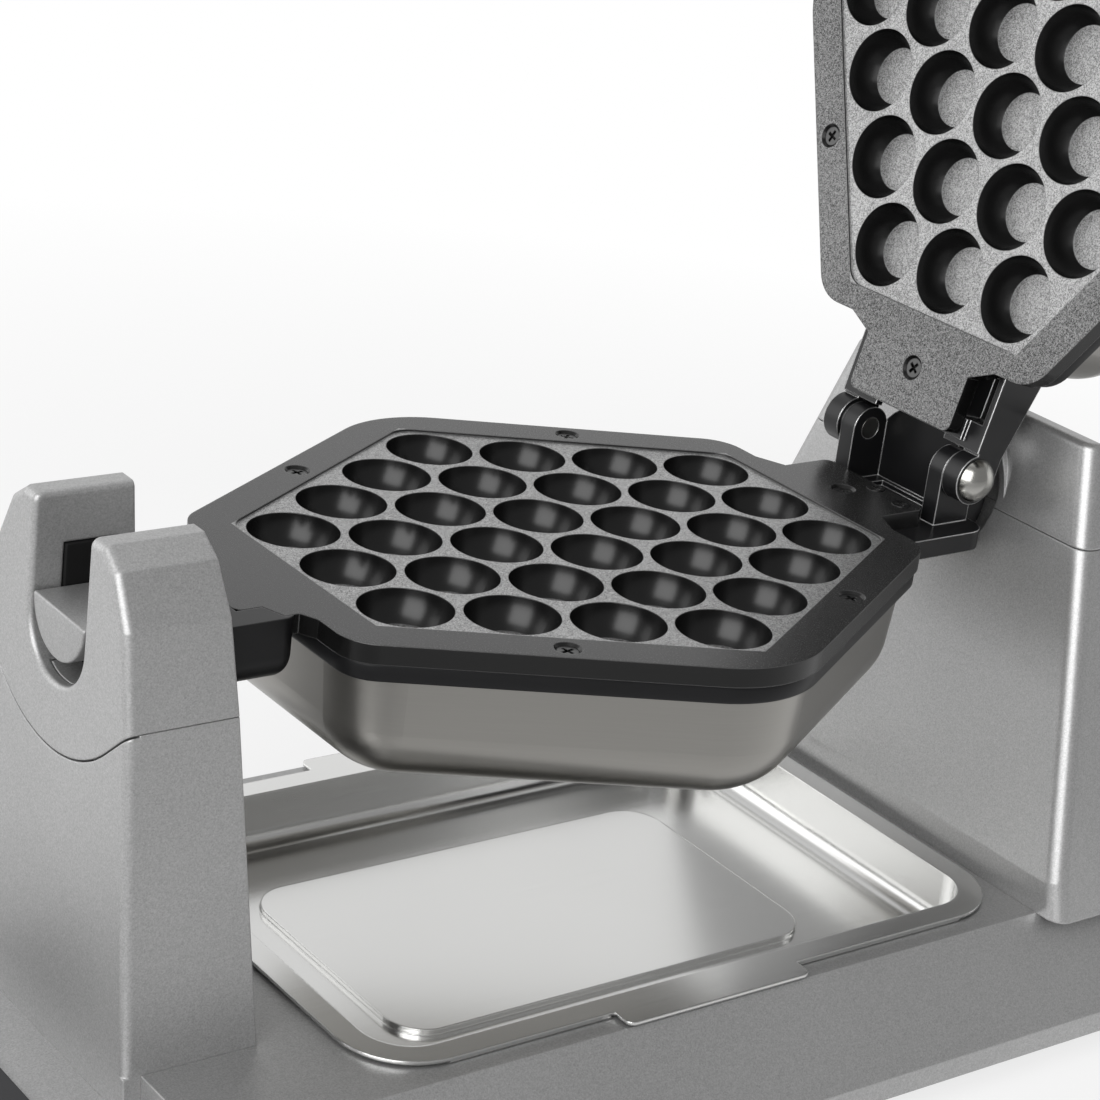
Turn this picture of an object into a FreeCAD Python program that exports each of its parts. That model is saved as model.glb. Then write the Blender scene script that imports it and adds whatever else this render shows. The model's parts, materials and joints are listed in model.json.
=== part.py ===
import FreeCAD, Part
import Sketcher
import math
import os
import re

# A rotary egg waffle baker: a lower pan and a hinged upper pan that turn together about a
# lengthwise axis, between a notched front post and a rear housing, over a drip tray.
# X runs from the front post to the rear housing, Z is up, and the table is z = 0.
# All lengths are in millimetres and all angles in degrees.

SIZES = {
    # Where the two axes of the machine lie
    "axis_height": 175.0,
    "hinge_reach": 150.15,
    "hinge_rise": 12.36,
    "open_angle": 105.0,
    "parting_gap": 0.6,
    # The lattice of ball cups, six in its longest column
    "cup_pitch": 33.0,
    "cup_radius": 15.3,
    "cup_floor": 11.2,
    "cup_angle": 30.0,
    "field_flat": 103.0,
    "field_apex": 102.5,
    "field_corner": 9.0,
    "field_step": 0.8,
    # Cast plate with its flange and its tabs
    "plate_rear": 112.0,
    "plate_front": 117.0,
    "plate_apex": 119.0,
    "apex_round": 38.0,
    "corner_round": 15.0,
    "flange_depth": 6.5,
    "plate_depth": 16.0,
    "block_margin": 3.0,
    "rear_tab_half": 26.0,
    "rear_tab_end": 137.5,
    "rear_flare_half": 37.0,
    "rear_flare": 5.0,
    "front_tab_half": 18.6,
    "front_tab_end": 137.0,
    "front_flare_half": 27.0,
    "front_root_half": 33.0,
    "front_root": 3.0,
    "front_shoulder": 8.0,
    "front_neck": 11.0,
    # Ring under the flange, and the pan casing
    "bezel_depth": 6.0,
    "bezel_inset": 0.8,
    "shell_inset": 3.0,
    "shell_corner": 32.0,
    "shell_depth": 52.0,
    "shell_wall": 1.5,
    "shell_draft": 5.0,
    "shell_round": 22.0,
    # Countersunk screws of the plates
    "screw_reach": 57.0,
    "screw_side": 78.0,
    "tab_screw_reach": 122.0,
    "screw_head": 4.2,
    "screw_head_depth": 2.6,
    "screw_shank": 1.9,
    "screw_length": 11.0,
    # Heating element, its clamp and the thermostat of each pan
    "element_ring": 60.0,
    "element_tube": 4.0,
    "element_gap_angle": 24.0,
    "element_leg": 38.0,
    "clamp_wall": 1.2,
    "clamp_radius": 80.0,
    "clamp_bore": 30.0,
    "thermostat_radius": 9.0,
    "thermostat_depth": 10.0,
    # Front lug and the half-round trunnion in its notch
    "lug_half": 29.0,
    "lug_depth": 22.0,
    "lug_corner": 9.0,
    "lug_start": 121.0,
    "lug_end": 147.0,
    "lug_round": 5.0,
    "trunnion_radius": 16.0,
    "trunnion_face": 186.5,
    "trunnion_root": 140.0,
    # Rear yoke, ears and turning shaft
    "yoke_half": 37.0,
    "yoke_start": 116.0,
    "yoke_end": 160.0,
    "yoke_depth": 14.0,
    "yoke_lip": 4.0,
    "yoke_lip_width": 7.0,
    "boss_start": 128.0,
    "boss_radius": 18.0,
    "yoke_round": 8.0,
    "yoke_pocket": 2.0,
    "yoke_pocket_half": 15.0,
    "yoke_pocket_start": 140.0,
    "yoke_pocket_end": 156.0,
    "ear_inner": 20.0,
    "ear_width": 7.0,
    "ear_radius": 8.0,
    "ear_washer": 1.0,
    "eye_width": 7.5,
    "eye_radius": 9.0,
    "pin_radius": 4.0,
    "pin_head_radius": 8.0,
    "pin_dome": 5.5,
    "disc_radius": 25.0,
    "disc_width": 10.0,
    "disc_round": 3.0,
    "shaft_radius": 14.0,
    "shaft_bore": 9.0,
    "shaft_end": 202.0,
    "collar_radius": 17.0,
    "collar_width": 4.5,
    # Hinge arms of the upper pan
    "arm_inner": 18.0,
    "arm_wall": 2.5,
    "arm_front": 111.5,
    "arm_inner_end": 131.0,
    "arm_low": 8.5,
    "arm_high": 28.0,
    "arm_floor": 3.0,
    "bridge_depth": 5.0,
    "bridge_half": 27.2,
    "bridge_rim": 1.2,
    "bridge_front": 113.0,
    # Handle on the axis, at the front of the upper pan
    "stem_radius": 8.0,
    "stem_length": 16.0,
    "grip_radius": 15.0,
    "grip_length": 92.0,
    "grip_waist": 2.0,
    "grip_cap": 4.0,
    # Front post with its cover and bearing
    "post_front": 187.0,
    "post_top_depth": 33.0,
    "post_foot_depth": 45.5,
    "post_top": 30.0,
    "post_top_half": 25.0,
    "post_crest_half": 33.0,
    "post_crest": 24.5,
    "post_shoulder_half": 41.0,
    "post_shoulder": 9.0,
    "post_seam_half": 46.0,
    "post_foot_half": 58.0,
    "post_apron": 12.5,
    "post_apron_wall": 6.0,
    "post_wall": 4.0,
    "post_edge": 3.0,
    "notch_half": 17.3,
    "notch_bottom": 23.0,
    "notch_round": 16.5,
    "notch_edge": 1.8,
    "cap_seam": 21.0,
    "cap_lip_drop": 23.0,
    "cap_lip_point": 60.8,
    "cap_lip_round": 52.0,
    "cap_lip_wall": 4.0,
    "cap_gap": 0.3,
    "bearing_start": 176.5,
    "bearing_end": 158.0,
    "bearing_half": 20.0,
    "bearing_top": 13.0,
    "running_clearance": 0.1,
    # Base casing with its sloping toe
    "deck_drop": 127.5,
    "base_front": 275.0,
    "base_rear": 275.0,
    "base_half": 125.0,
    "deck_half": 99.0,
    "base_skirt": 8.0,
    "base_corner": 26.0,
    "base_wall": 2.5,
    "foot_height": 10.0,
    "toe_lip": 10.0,
    "deck_edge": 181.0,
    "floor_wall": 1.5,
    "fit_gap": 0.3,
    # Feet and their screws
    "foot_radius": 15.0,
    "foot_top_radius": 12.0,
    "foot_reach": 236.0,
    "foot_side": 98.0,
    "foot_screw_head": 5.0,
    "foot_screw_head_depth": 3.0,
    "foot_screw_shank": 2.0,
    # Drip tray and the well under it
    "tray_front": 119.0,
    "tray_rear": 147.0,
    "tray_half": 92.0,
    "tray_corner": 26.0,
    "tray_rim": 9.0,
    "tray_rim_height": 2.2,
    "tray_wall": 1.2,
    "tray_floor_drop": 21.5,
    "tray_floor_round": 7.0,
    "plateau_front": 80.0,
    "plateau_rear": 92.0,
    "plateau_half": 51.0,
    "plateau_rise": 2.2,
    "plateau_corner": 14.0,
    "pull_front": 30.0,
    "pull_rear": 46.0,
    "pull_reach": 8.0,
    "pull_corner": 3.0,
    "well_gap": 2.0,
    "well_wall": 1.0,
    "well_lip": 4.0,
    # Rear housing in two parts
    "housing_front": 152.0,
    "housing_band": 12.5,
    "housing_lean_top": 176.0,
    "housing_top": 31.5,
    "roof_fall": 23.0,
    "roof_end": 235.0,
    "shoulder_drop": 25.0,
    "housing_foot_half": 110.0,
    "housing_top_half": 62.0,
    "housing_wall": 3.0,
    "housing_seam": 3.5,
    "seam_gap": 0.4,
    "housing_edge": 6.0,
    "housing_crest": 3.0,
    "recess_radius": 28.0,
    "recess_floor": 176.0,
    "recess_wall": 3.0,
    "recess_rim": 3.0,
    # Bearing of the shaft and the bracket that carries it
    "bush_start": 181.0,
    "bush_end": 194.0,
    "bush_radius": 19.0,
    "bush_flange": 23.0,
    "bush_flange_width": 5.0,
    "bracket_start": 187.0,
    "bracket_wall": 4.0,
    "bracket_half": 40.0,
    "bracket_top": 21.0,
    "bracket_foot": 30.0,
    # Panel at the back, with its vents and the power inlet
    "panel_half": 62.0,
    "panel_low": 6.0,
    "panel_high": 96.0,
    "panel_wall": 1.5,
    "vent_count": 7,
    "vent_pitch": 8.0,
    "vent_width": 3.5,
    "vent_half": 30.0,
    "vent_low": 42.0,
    "inlet_half": 14.0,
    "inlet_height": 20.0,
    "inlet_depth": 24.0,
    "inlet_low": 12.0,
    "inlet_wall": 3.0,
    "inlet_cavity": 15.0,
    "inlet_pin_half": 1.0,
    "inlet_pin_height": 4.0,
    "inlet_pin_length": 8.0,
    "inlet_pin_pitch": 7.0,
    # Controls on the toe
    "fascia_half": 64.0,
    "fascia_length": 52.0,
    "fascia_wall": 1.5,
    "fascia_lip": 4.0,
    "fascia_corner": 5.0,
    "knob_side": 40.0,
    "knob_radius": 14.0,
    "knob_height": 13.0,
    "knob_skirt": 16.5,
    "knob_skirt_height": 2.5,
    "knob_flute": 2.0,
    "knob_flutes": 12,
    "knob_shaft": 3.0,
    "knob_shaft_length": 4.0,
    "knob_clearance": 0.4,
    "pointer_width": 1.6,
    "pointer_height": 0.4,
    "rocker_side": -42.0,
    "rocker_length": 18.0,
    "rocker_width": 11.0,
    "rocker_depth": 5.0,
    "rocker_tilt": 7.0,
    "rocker_rise": 1.2,
    "rocker_gap": 0.5,
    "bezel_frame": 2.5,
    "bezel_height": 2.0,
    "switch_floor": 1.5,
    "switch_depth": 6.5,
    "lamp_radius": 3.0,
    "lamp_pitch": 16.0,
    "lamp_height": 1.4,
    "lamp_depth": 4.0,
    "board_half": 50.0,
    "board_length": 30.0,
    "board_wall": 1.6,
    "board_drop": 7.0,
    "board_pillar": 2.5,
    # How far a cutting shape runs past what it cuts
    "overrun": 2.0,
}

doc = FreeCAD.newDocument("EggWaffleBaker")
sheet = doc.addObject("Spreadsheet::Sheet", "Sizes")
for row, (alias, number) in enumerate(SIZES.items(), start=1):
    sheet.set(f"A{row}", str(number))
    sheet.setAlias(f"A{row}", alias)
doc.recompute()

made = []


def formula(text):
    """Point each size that an expression names at its cell of the sheet."""
    return re.sub(r"[a-z_]+", lambda m: f"Sizes.{m[0]}" if m[0] in SIZES else m[0], str(text))


def size(text):
    """Work an expression out as a plain number."""
    return float(sheet.evalExpression(formula(text)))


def bind(thing, prop, text):
    """Tie a property to an expression of the sheet's sizes."""
    thing.setExpression(prop, formula(text))


# Helpers that make sketches and features of a body

def new_body(label):
    """A body that is one of the pieces."""
    body = new_form()
    body.Label = label
    made.append(body)
    return body


def new_form():
    """A body that another solid is made from."""
    return doc.addObject("PartDesign::Body", "Body")


def new_sketch(body, role, across="0", up="0", out="0"):
    """A sketch on an origin plane, moved within the plane and along its normal."""
    sketch = body.newObject("Sketcher::SketchObject", "Sketch")
    plane = [f for f in body.Origin.OriginFeatures if f.Role == role][0]
    sketch.AttachmentSupport = [(plane, "")]
    sketch.MapMode = "FlatFace"
    bind(sketch, "AttachmentOffset.Base.x", across)
    bind(sketch, "AttachmentOffset.Base.y", up)
    bind(sketch, "AttachmentOffset.Base.z", out)
    return sketch


def pin_point(sketch, index, end, point):
    """Hold one point of a sketch at two expressions."""
    for kind, text in zip(("DistanceX", "DistanceY"), point):
        number = sketch.addConstraint(Sketcher.Constraint(kind, index, end, size(text)))
        bind(sketch, f"Constraints[{number}]", text)


def corner_arc(before, here, after, radius):
    """The arc that rounds a corner, where it meets the two sides, and whether it turns left."""
    back = (before - here).normalize()
    ahead = (after - here).normalize()
    half = back.getAngle(ahead) / 2
    arrive = here + back * (radius / math.tan(half))
    leave = here + ahead * (radius / math.tan(half))
    centre = here + (back + ahead).normalize() * (radius / math.sin(half))
    left = ahead.cross(back).z > 0
    first, last = (arrive, leave) if left else (leave, arrive)
    angles = [math.atan2(end.y - centre.y, end.x - centre.x) for end in (first, last)]
    ring = Part.Circle(centre, FreeCAD.Vector(0, 0, 1), radius)
    return Part.ArcOfCircle(ring, *angles), arrive, leave, left


def polygon(sketch, points, rounds=None):
    """A closed outline through points given as expressions.

    A corner whose entry in rounds names a radius is rounded by an arc that touches both of
    its sides, and the corner itself stays as a construction point that holds the sides.
    """
    count = len(points)
    if not isinstance(rounds, list):
        rounds = [rounds] * count
    corners = [FreeCAD.Vector(size(a), size(b), 0) for a, b in points]
    arcs, starts, ends = {}, list(corners), list(corners)
    for i, radius in enumerate(rounds):
        if radius is not None:
            neighbours = corners[i - 1], corners[i], corners[(i + 1) % count]
            arcs[i], ends[i], starts[i], left = corner_arc(*neighbours, size(radius))
            arcs[i] = (arcs[i], left)
    first = sketch.GeometryCount
    for i in range(count):
        sketch.addGeometry(Part.LineSegment(starts[i], ends[(i + 1) % count]))
    for i in range(count):
        side, last_side = first + i, first + (i - 1) % count
        if i not in arcs:
            sketch.addConstraint(Sketcher.Constraint("Coincident", last_side, 2, side, 1))
            pin_point(sketch, side, 1, points[i])
            continue
        shape, left = arcs[i]
        arc = sketch.addGeometry(shape)
        enter, leave = (1, 2) if left else (2, 1)
        sketch.addConstraint(Sketcher.Constraint("Tangent", last_side, 2, arc, enter))
        sketch.addConstraint(Sketcher.Constraint("Tangent", arc, leave, side, 1))
        number = sketch.addConstraint(Sketcher.Constraint("Radius", arc, size(rounds[i])))
        bind(sketch, f"Constraints[{number}]", rounds[i])
        corner = sketch.addGeometry(Part.Point(corners[i]), True)
        pin_point(sketch, corner, 1, points[i])
        sketch.addConstraint(Sketcher.Constraint("PointOnObject", corner, 1, last_side))
        sketch.addConstraint(Sketcher.Constraint("PointOnObject", corner, 1, side))
    return sketch


def rectangle(sketch, low, high, rounds=None):
    (x1, y1), (x2, y2) = low, high
    return polygon(sketch, [(x1, y1), (x2, y1), (x2, y2), (x1, y2)], rounds)


def circle(sketch, radius, across="0", up="0"):
    centre = FreeCAD.Vector(size(across), size(up), 0)
    index = sketch.addGeometry(Part.Circle(centre, FreeCAD.Vector(0, 0, 1), size(radius)))
    pin_point(sketch, index, 3, (across, up))
    number = sketch.addConstraint(Sketcher.Constraint("Radius", index, size(radius)))
    bind(sketch, f"Constraints[{number}]", radius)
    return sketch


def cup_profile(sketch):
    """Half a cup's section: a ball's arc from the rim down to the flat floor."""
    reach, deep = size("cup_radius"), size("cup_floor")
    flat = math.sqrt(reach ** 2 - deep ** 2)
    middle, bottom = FreeCAD.Vector(0, 0, 0), FreeCAD.Vector(0, -deep, 0)
    ring = Part.Circle(middle, FreeCAD.Vector(0, 0, 1), reach)
    arc = sketch.addGeometry(Part.ArcOfCircle(ring, -math.asin(deep / reach), 0))
    level = sketch.addGeometry(Part.LineSegment(FreeCAD.Vector(reach, 0, 0), middle))
    upright = sketch.addGeometry(Part.LineSegment(middle, bottom))
    floor = sketch.addGeometry(Part.LineSegment(bottom, FreeCAD.Vector(flat, -deep, 0)))
    for first, first_end, second, second_end in (
        (arc, 2, level, 1), (level, 2, upright, 1), (upright, 2, floor, 1), (floor, 2, arc, 1),
    ):
        sketch.addConstraint(
            Sketcher.Constraint("Coincident", first, first_end, second, second_end)
        )
    sketch.addConstraint(Sketcher.Constraint("Coincident", arc, 3, -1, 1))
    sketch.addConstraint(Sketcher.Constraint("Coincident", level, 2, -1, 1))
    sketch.addConstraint(Sketcher.Constraint("Horizontal", level))
    sketch.addConstraint(Sketcher.Constraint("Horizontal", floor))
    sketch.addConstraint(Sketcher.Constraint("Vertical", upright))
    for kind, length, text in (
        ("Radius", reach, "cup_radius"), ("DistanceY", deep, "cup_floor"),
    ):
        held = (arc,) if kind == "Radius" else (upright, 2, upright, 1)
        number = sketch.addConstraint(Sketcher.Constraint(kind, *held, length))
        bind(sketch, f"Constraints[{number}]", text)
    return sketch


def check(feature):
    doc.recompute()
    if "Invalid" in feature.State or "Error" in feature.State or feature.Shape.isNull():
        raise RuntimeError(f"{feature.getParentGeoFeatureGroup().Label}: {feature.Name} failed")
    return feature


def grow(body, kind, sketch, length, middle=False, back=False, taper=None):
    """A Pad or a Pocket of a sketch, with a test that it changed the solid the right way."""
    before = body.Tip.Shape.Volume if body.Tip and kind == "Pocket" else 0.0
    feature = body.newObject(f"PartDesign::{kind}", kind)
    feature.Profile = sketch
    bind(feature, "Length", length)
    feature.Midplane = middle
    feature.Reversed = back
    if taper is not None:
        bind(feature, "TaperAngle", taper)
    check(feature)
    if kind == "Pocket" and not feature.Shape.Volume < before:
        raise RuntimeError(f"{body.Label}: a pocket cut nothing")
    return feature


def pad(body, sketch, length, **how):
    return grow(body, "Pad", sketch, length, **how)


def pocket(body, sketch, length, **how):
    return grow(body, "Pocket", sketch, length, **how)


def turned(body, kind, sketch, axis="V_Axis", angle=None):
    """A Revolution or a Groove of a sketch about one of its own axes."""
    before = body.Tip.Shape.Volume if body.Tip else 0.0
    feature = body.newObject(f"PartDesign::{kind}", kind)
    feature.Profile = sketch
    feature.ReferenceAxis = (sketch, [axis])
    feature.Angle = 360
    if angle is not None:
        bind(feature, "Angle", angle)
        feature.Midplane = True
    check(feature)
    if kind == "Groove" and not feature.Shape.Volume < before:
        raise RuntimeError(f"{body.Label}: a groove cut nothing")
    return feature


def loft(body, kind, sketches):
    feature = body.newObject(f"PartDesign::{kind}", kind)
    feature.Profile = sketches[0]
    feature.Sections = sketches[1:]
    feature.Ruled = True
    return check(feature)


def repeat(body, feature, direction, length, count):
    """A row of one feature, evenly spaced over a length."""
    pattern = body.newObject("PartDesign::LinearPattern", "Row")
    pattern.Originals = [feature]
    pattern.Direction = direction
    bind(pattern, "Length", length)
    pattern.Occurrences = count
    body.Tip = pattern
    return check(pattern)


def ease(body, kind, pick, amount):
    """A Fillet or a Chamfer on the edges that a test picks."""
    base = body.Tip
    names = [f"Edge{i}" for i, edge in enumerate(base.Shape.Edges, start=1) if pick(edge)]
    if not names:
        raise RuntimeError(f"{body.Label}: no edge to ease by {amount}")
    feature = body.newObject(f"PartDesign::{kind}", kind)
    feature.Base = (base, names)
    bind(feature, "Radius" if kind == "Fillet" else "Size", amount)
    return check(feature)


NEAR = 0.01


def near(value, text):
    return abs(value - size(text)) < NEAR


def along(edge, axis):
    """Whether an edge is straight and runs along an axis, given as 0, 1 or 2."""
    if len(edge.Vertexes) != 2:
        return False
    step = edge.Vertexes[1].Point - edge.Vertexes[0].Point
    return abs(abs(step[axis]) - edge.Length) < 0.001


def level_at(edge, height):
    box = edge.BoundBox
    return near(box.ZMin, height) and near(box.ZMax, height)


# Helpers that make plain solids and join them

def less(label, outer, inner):
    """A piece made as one form less another, such as the two sides of a drawn sheet."""
    solid = doc.addObject("Part::Cut", "Cut")
    solid.Base = outer
    solid.Tool = inner
    solid.Label = label
    made.append(solid)
    doc.recompute()
    return solid


def group_of_turned(label, outline, places, axis=None):
    """Equal turned solids, such as screws, as one group of separate solids.

    The outline is given from the middle outwards, in pairs of radius and height.
    """
    shapes = []
    for place in places:
        points = [FreeCAD.Vector(size(r), 0, size(z)) for r, z in outline]
        face = Part.Face(Part.makePolygon(points + [points[0]]))
        solid = face.revolve(FreeCAD.Vector(0, 0, 0), FreeCAD.Vector(0, 0, 1), 360)
        if axis is not None:
            solid.rotate(FreeCAD.Vector(0, 0, 0), *axis(place))
        solid.translate(FreeCAD.Vector(*[size(c) for c in place]))
        shapes.append(solid)
    group = doc.addObject("Part::Feature", "Group")
    group.Shape = Part.makeCompound(shapes)
    group.Label = label
    made.append(group)
    return group


# The frames that the pieces are placed in

def at_axis():
    """Pieces of the lower pan and the stand are drawn about the turning axis."""
    return FreeCAD.Placement(FreeCAD.Vector(0, 0, size("axis_height")), FreeCAD.Rotation())


def opened():
    """Pieces of the upper pan are drawn closed, and stand open about the hinge pins."""
    pivot = FreeCAD.Vector(size("hinge_reach"), 0, size("hinge_rise"))
    turn = FreeCAD.Rotation(FreeCAD.Vector(0, 1, 0), size("open_angle"))
    swing = FreeCAD.Placement(pivot - turn.multVec(pivot), turn)
    return at_axis().multiply(swing)


def turned_over():
    """A piece of the lower pan, turned over to be its twin in the upper pan."""
    flip = FreeCAD.Placement(FreeCAD.Vector(), FreeCAD.Rotation(FreeCAD.Vector(1, 0, 0), 180))
    return opened().multiply(flip)


def on_toe():
    """Controls are drawn flat and lie on the middle of the sloping toe."""
    run = size("base_front - post_front")
    fall = size("axis_height - deck_drop - post_apron - foot_height - toe_lip")
    middle = FreeCAD.Vector(
        -size("base_front + post_front") / 2, 0, size("foot_height + toe_lip") + fall / 2
    )
    slope = FreeCAD.Rotation(FreeCAD.Vector(0, 1, 0), -math.degrees(math.atan2(fall, run)))
    return FreeCAD.Placement(middle, slope)


HALVES = {"lower": at_axis, "upper": turned_over}


# Outlines shared by the plate, the ring and the casing

def hexagon(front, rear, apex):
    """The six corners of a pan outline, whose slanting sides lie at the lattice's angle."""
    rear_side = f"{apex} - ({rear}) * tan(cup_angle)"
    front_side = f"{apex} - ({front}) * tan(cup_angle)"
    return [
        (rear, f"-({rear_side})"), (rear, rear_side), ("0", apex),
        (f"-({front})", front_side), (f"-({front})", f"-({front_side})"), ("0", f"-({apex})"),
    ]


def hexagon_rounds(corner="corner_round", peak="apex_round"):
    """The radii of a pan outline's corners, in the order of its points."""
    return [corner, corner, peak, corner, corner, peak]


def tab_outline(reach="0"):
    """The plate's outline with its front and rear tabs, drawn in by a reach."""
    apex = f"(plate_apex - ({reach}) / cos(cup_angle))"
    rear = f"(plate_rear - ({reach}))"
    front = f"(plate_front - ({reach}))"
    half = [
        (f"rear_tab_end - ({reach})", f"rear_tab_half - ({reach})"),
        (f"{rear} + rear_flare", f"rear_tab_half - ({reach})"),
        (rear, f"rear_flare_half - ({reach})"),
        (rear, f"{apex} - {rear} * tan(cup_angle)"),
        ("0", apex),
        (f"-{front}", f"{apex} - {front} * tan(cup_angle)"),
        (f"-{front}", f"front_root_half - ({reach})"),
        (f"-{front} - front_root", f"front_flare_half - ({reach})"),
        (f"-{front} - front_shoulder", f"front_flare_half - ({reach})"),
        (f"-{front} - front_neck", f"front_tab_half - ({reach})"),
        (f"-(front_tab_end - ({reach}))", f"front_tab_half - ({reach})"),
    ]
    return half + [(x, f"-({y})") for x, y in reversed(half)]


def tab_rounds():
    """The radii of the corners of the plate's outline, in the order of its points."""
    half = [
        "front_root", None, None, "corner_round", "apex_round", "corner_round",
        None, None, None, None, "front_root",
    ]
    return half + list(reversed(half))


# Cast plate: the piece that takes the most skill, with its lattice of ball cups

def cup_columns():
    """Each column's step from the middle and its number of cups, six in the longest."""
    return [(step, 6 - abs(step)) for step in range(-3, 4)]


def screw_places():
    places = [
        (f"{a}screw_reach", f"{b}screw_side") for a in ("", "-") for b in ("", "-")
    ]
    return places + [("tab_screw_reach", "0")]


def plate(half):
    body = new_body(f"{half}_plate")
    flange = polygon(
        new_sketch(body, "XY_Plane", out="-parting_gap / 2"), tab_outline(), tab_rounds()
    )
    pad(body, flange, "flange_depth", back=True)
    margin = "block_margin"
    block_sizes = (f"field_flat + {margin}", f"field_flat + {margin}", f"field_apex + {margin}")
    block = polygon(
        new_sketch(body, "XY_Plane", out="-parting_gap / 2"), hexagon(*block_sizes),
        hexagon_rounds("field_corner + block_margin", "field_corner + block_margin"),
    )
    pad(body, block, "plate_depth", back=True)
    field = polygon(
        new_sketch(body, "XY_Plane", out="-parting_gap / 2"),
        hexagon("field_flat", "field_flat", "field_apex"),
        hexagon_rounds("field_corner", "field_corner"),
    )
    pocket(body, field, "field_step")
    for step, count in cup_columns():
        column = new_sketch(
            body, "XZ_Plane", across=f"cup_pitch * cos(cup_angle) * {step}",
            out=f"-cup_pitch * {count - 1} / 2",
        )
        cup_profile(column)
        cup = turned(body, "Groove", column)
        repeat(body, cup, (column, ["N_Axis"]), f"cup_pitch * {count - 1}", count)
    for across, side in screw_places():
        seat = new_sketch(body, "XZ_Plane", across=across, up="-parting_gap / 2", out=f"-({side})")
        polygon(seat, [
            ("0", "overrun"), ("screw_head + fit_gap", "overrun"),
            ("screw_head + fit_gap", "0"), ("screw_shank + fit_gap", "-screw_head_depth"),
            ("screw_shank + fit_gap", "-plate_depth - overrun"), ("0", "-plate_depth - overrun"),
        ])
        turned(body, "Groove", seat)
    body.Placement = HALVES[half]()


def plate_screws(half):
    top = "-parting_gap / 2 - fit_gap"
    group = group_of_turned(
        f"{half}_plate_screws",
        [
            ("0", top), ("screw_head", top),
            ("screw_shank", f"{top} - screw_head_depth"),
            ("screw_shank", f"{top} - screw_length"), ("0", f"{top} - screw_length"),
        ],
        [(across, side, "0") for across, side in screw_places()],
    )
    group.Placement = HALVES[half]()


# Ring under the flange, which carries the pan casing

FLANGE_BACK = "(parting_gap / 2 + flange_depth)"
BEZEL_BACK = "(parting_gap / 2 + flange_depth + bezel_depth)"


def bezel(half):
    body = new_body(f"{half}_bezel")
    rim = new_sketch(body, "XY_Plane", out=f"-{FLANGE_BACK}")
    outer = (
        "plate_front - bezel_inset", "plate_rear - bezel_inset",
        "plate_apex - bezel_inset / cos(cup_angle)",
    )
    polygon(rim, hexagon(*outer), hexagon_rounds())
    pad(body, rim, "bezel_depth", back=True)
    inner = new_sketch(body, "XY_Plane", out=f"-{BEZEL_BACK} - overrun")
    reach = "block_margin + fit_gap"
    polygon(inner, hexagon(
        f"field_flat + {reach}", f"field_flat + {reach}",
        f"field_apex + {reach} / cos(cup_angle)",
    ), hexagon_rounds("field_corner + block_margin", "field_corner + block_margin"))
    pocket(body, inner, "bezel_depth + 2 * overrun", back=True)
    for across, side in screw_places()[:4]:
        hole = circle(
            new_sketch(body, "XY_Plane", out=f"-{BEZEL_BACK} - overrun"),
            "screw_shank + fit_gap", across, side,
        )
        pocket(body, hole, "bezel_depth + 2 * overrun", back=True)
    body.Placement = HALVES[half]()


def pan_form(reach, deep):
    """A casing's form, drawn in by a reach, with a slight draft and a rounded bottom edge."""
    form = new_form()
    corners = hexagon(
        f"plate_front - ({reach})", f"plate_rear - ({reach})",
        f"plate_apex - ({reach}) / cos(cup_angle)",
    )
    rounds = hexagon_rounds(f"shell_corner - ({reach})", f"apex_round - ({reach})")
    outline = polygon(new_sketch(form, "XY_Plane", out=f"-{BEZEL_BACK}"), corners, rounds)
    pad(form, outline, deep, back=True, taper="-shell_draft")
    ease(form, "Fillet", lambda e: level_at(e, f"-{BEZEL_BACK} - ({deep})"),
         f"shell_round + shell_inset - ({reach})")
    return form


def shell(half):
    deep = f"shell_depth - {BEZEL_BACK}"
    outer = pan_form("shell_inset", deep)
    inner = pan_form("shell_inset + shell_wall", f"{deep} - shell_wall")
    less(f"{half}_shell", outer, inner).Placement = HALVES[half]()


def element(half):
    body = new_body(f"{half}_element")
    depth = "(parting_gap / 2 + plate_depth + element_tube + running_clearance)"
    ring = new_sketch(body, "XZ_Plane", up=f"-{depth}")
    circle(ring, "element_tube", across="-element_ring")
    turned(body, "Revolution", ring, angle="360 - 2 * element_gap_angle")
    for sign in ("", "-"):
        leg = new_sketch(body, "YZ_Plane", across=f"{sign}element_ring * sin(element_gap_angle)",
                         up=f"-{depth}", out="element_ring * cos(element_gap_angle) - element_tube")
        circle(leg, "element_tube")
        pad(body, leg, "element_leg")
    body.Placement = HALVES[half]()


def element_clamp(half):
    body = new_body(f"{half}_element_clamp")
    top = "-(parting_gap / 2 + plate_depth + 2 * element_tube + 2 * running_clearance)"
    disc = circle(new_sketch(body, "XY_Plane", out=top), "clamp_radius")
    circle(disc, "clamp_bore")
    pad(body, disc, "clamp_wall", back=True)
    body.Placement = HALVES[half]()


def thermostat(half):
    body = new_body(f"{half}_thermostat")
    top = "-(parting_gap / 2 + plate_depth)"
    disc = circle(new_sketch(body, "XY_Plane", out=top), "thermostat_radius")
    pad(body, disc, "thermostat_depth", back=True)
    ease(body, "Chamfer", lambda e: level_at(e, f"{top} - thermostat_depth"), "clamp_wall")
    body.Placement = HALVES[half]()


# Front lug and half-round trunnion

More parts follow.
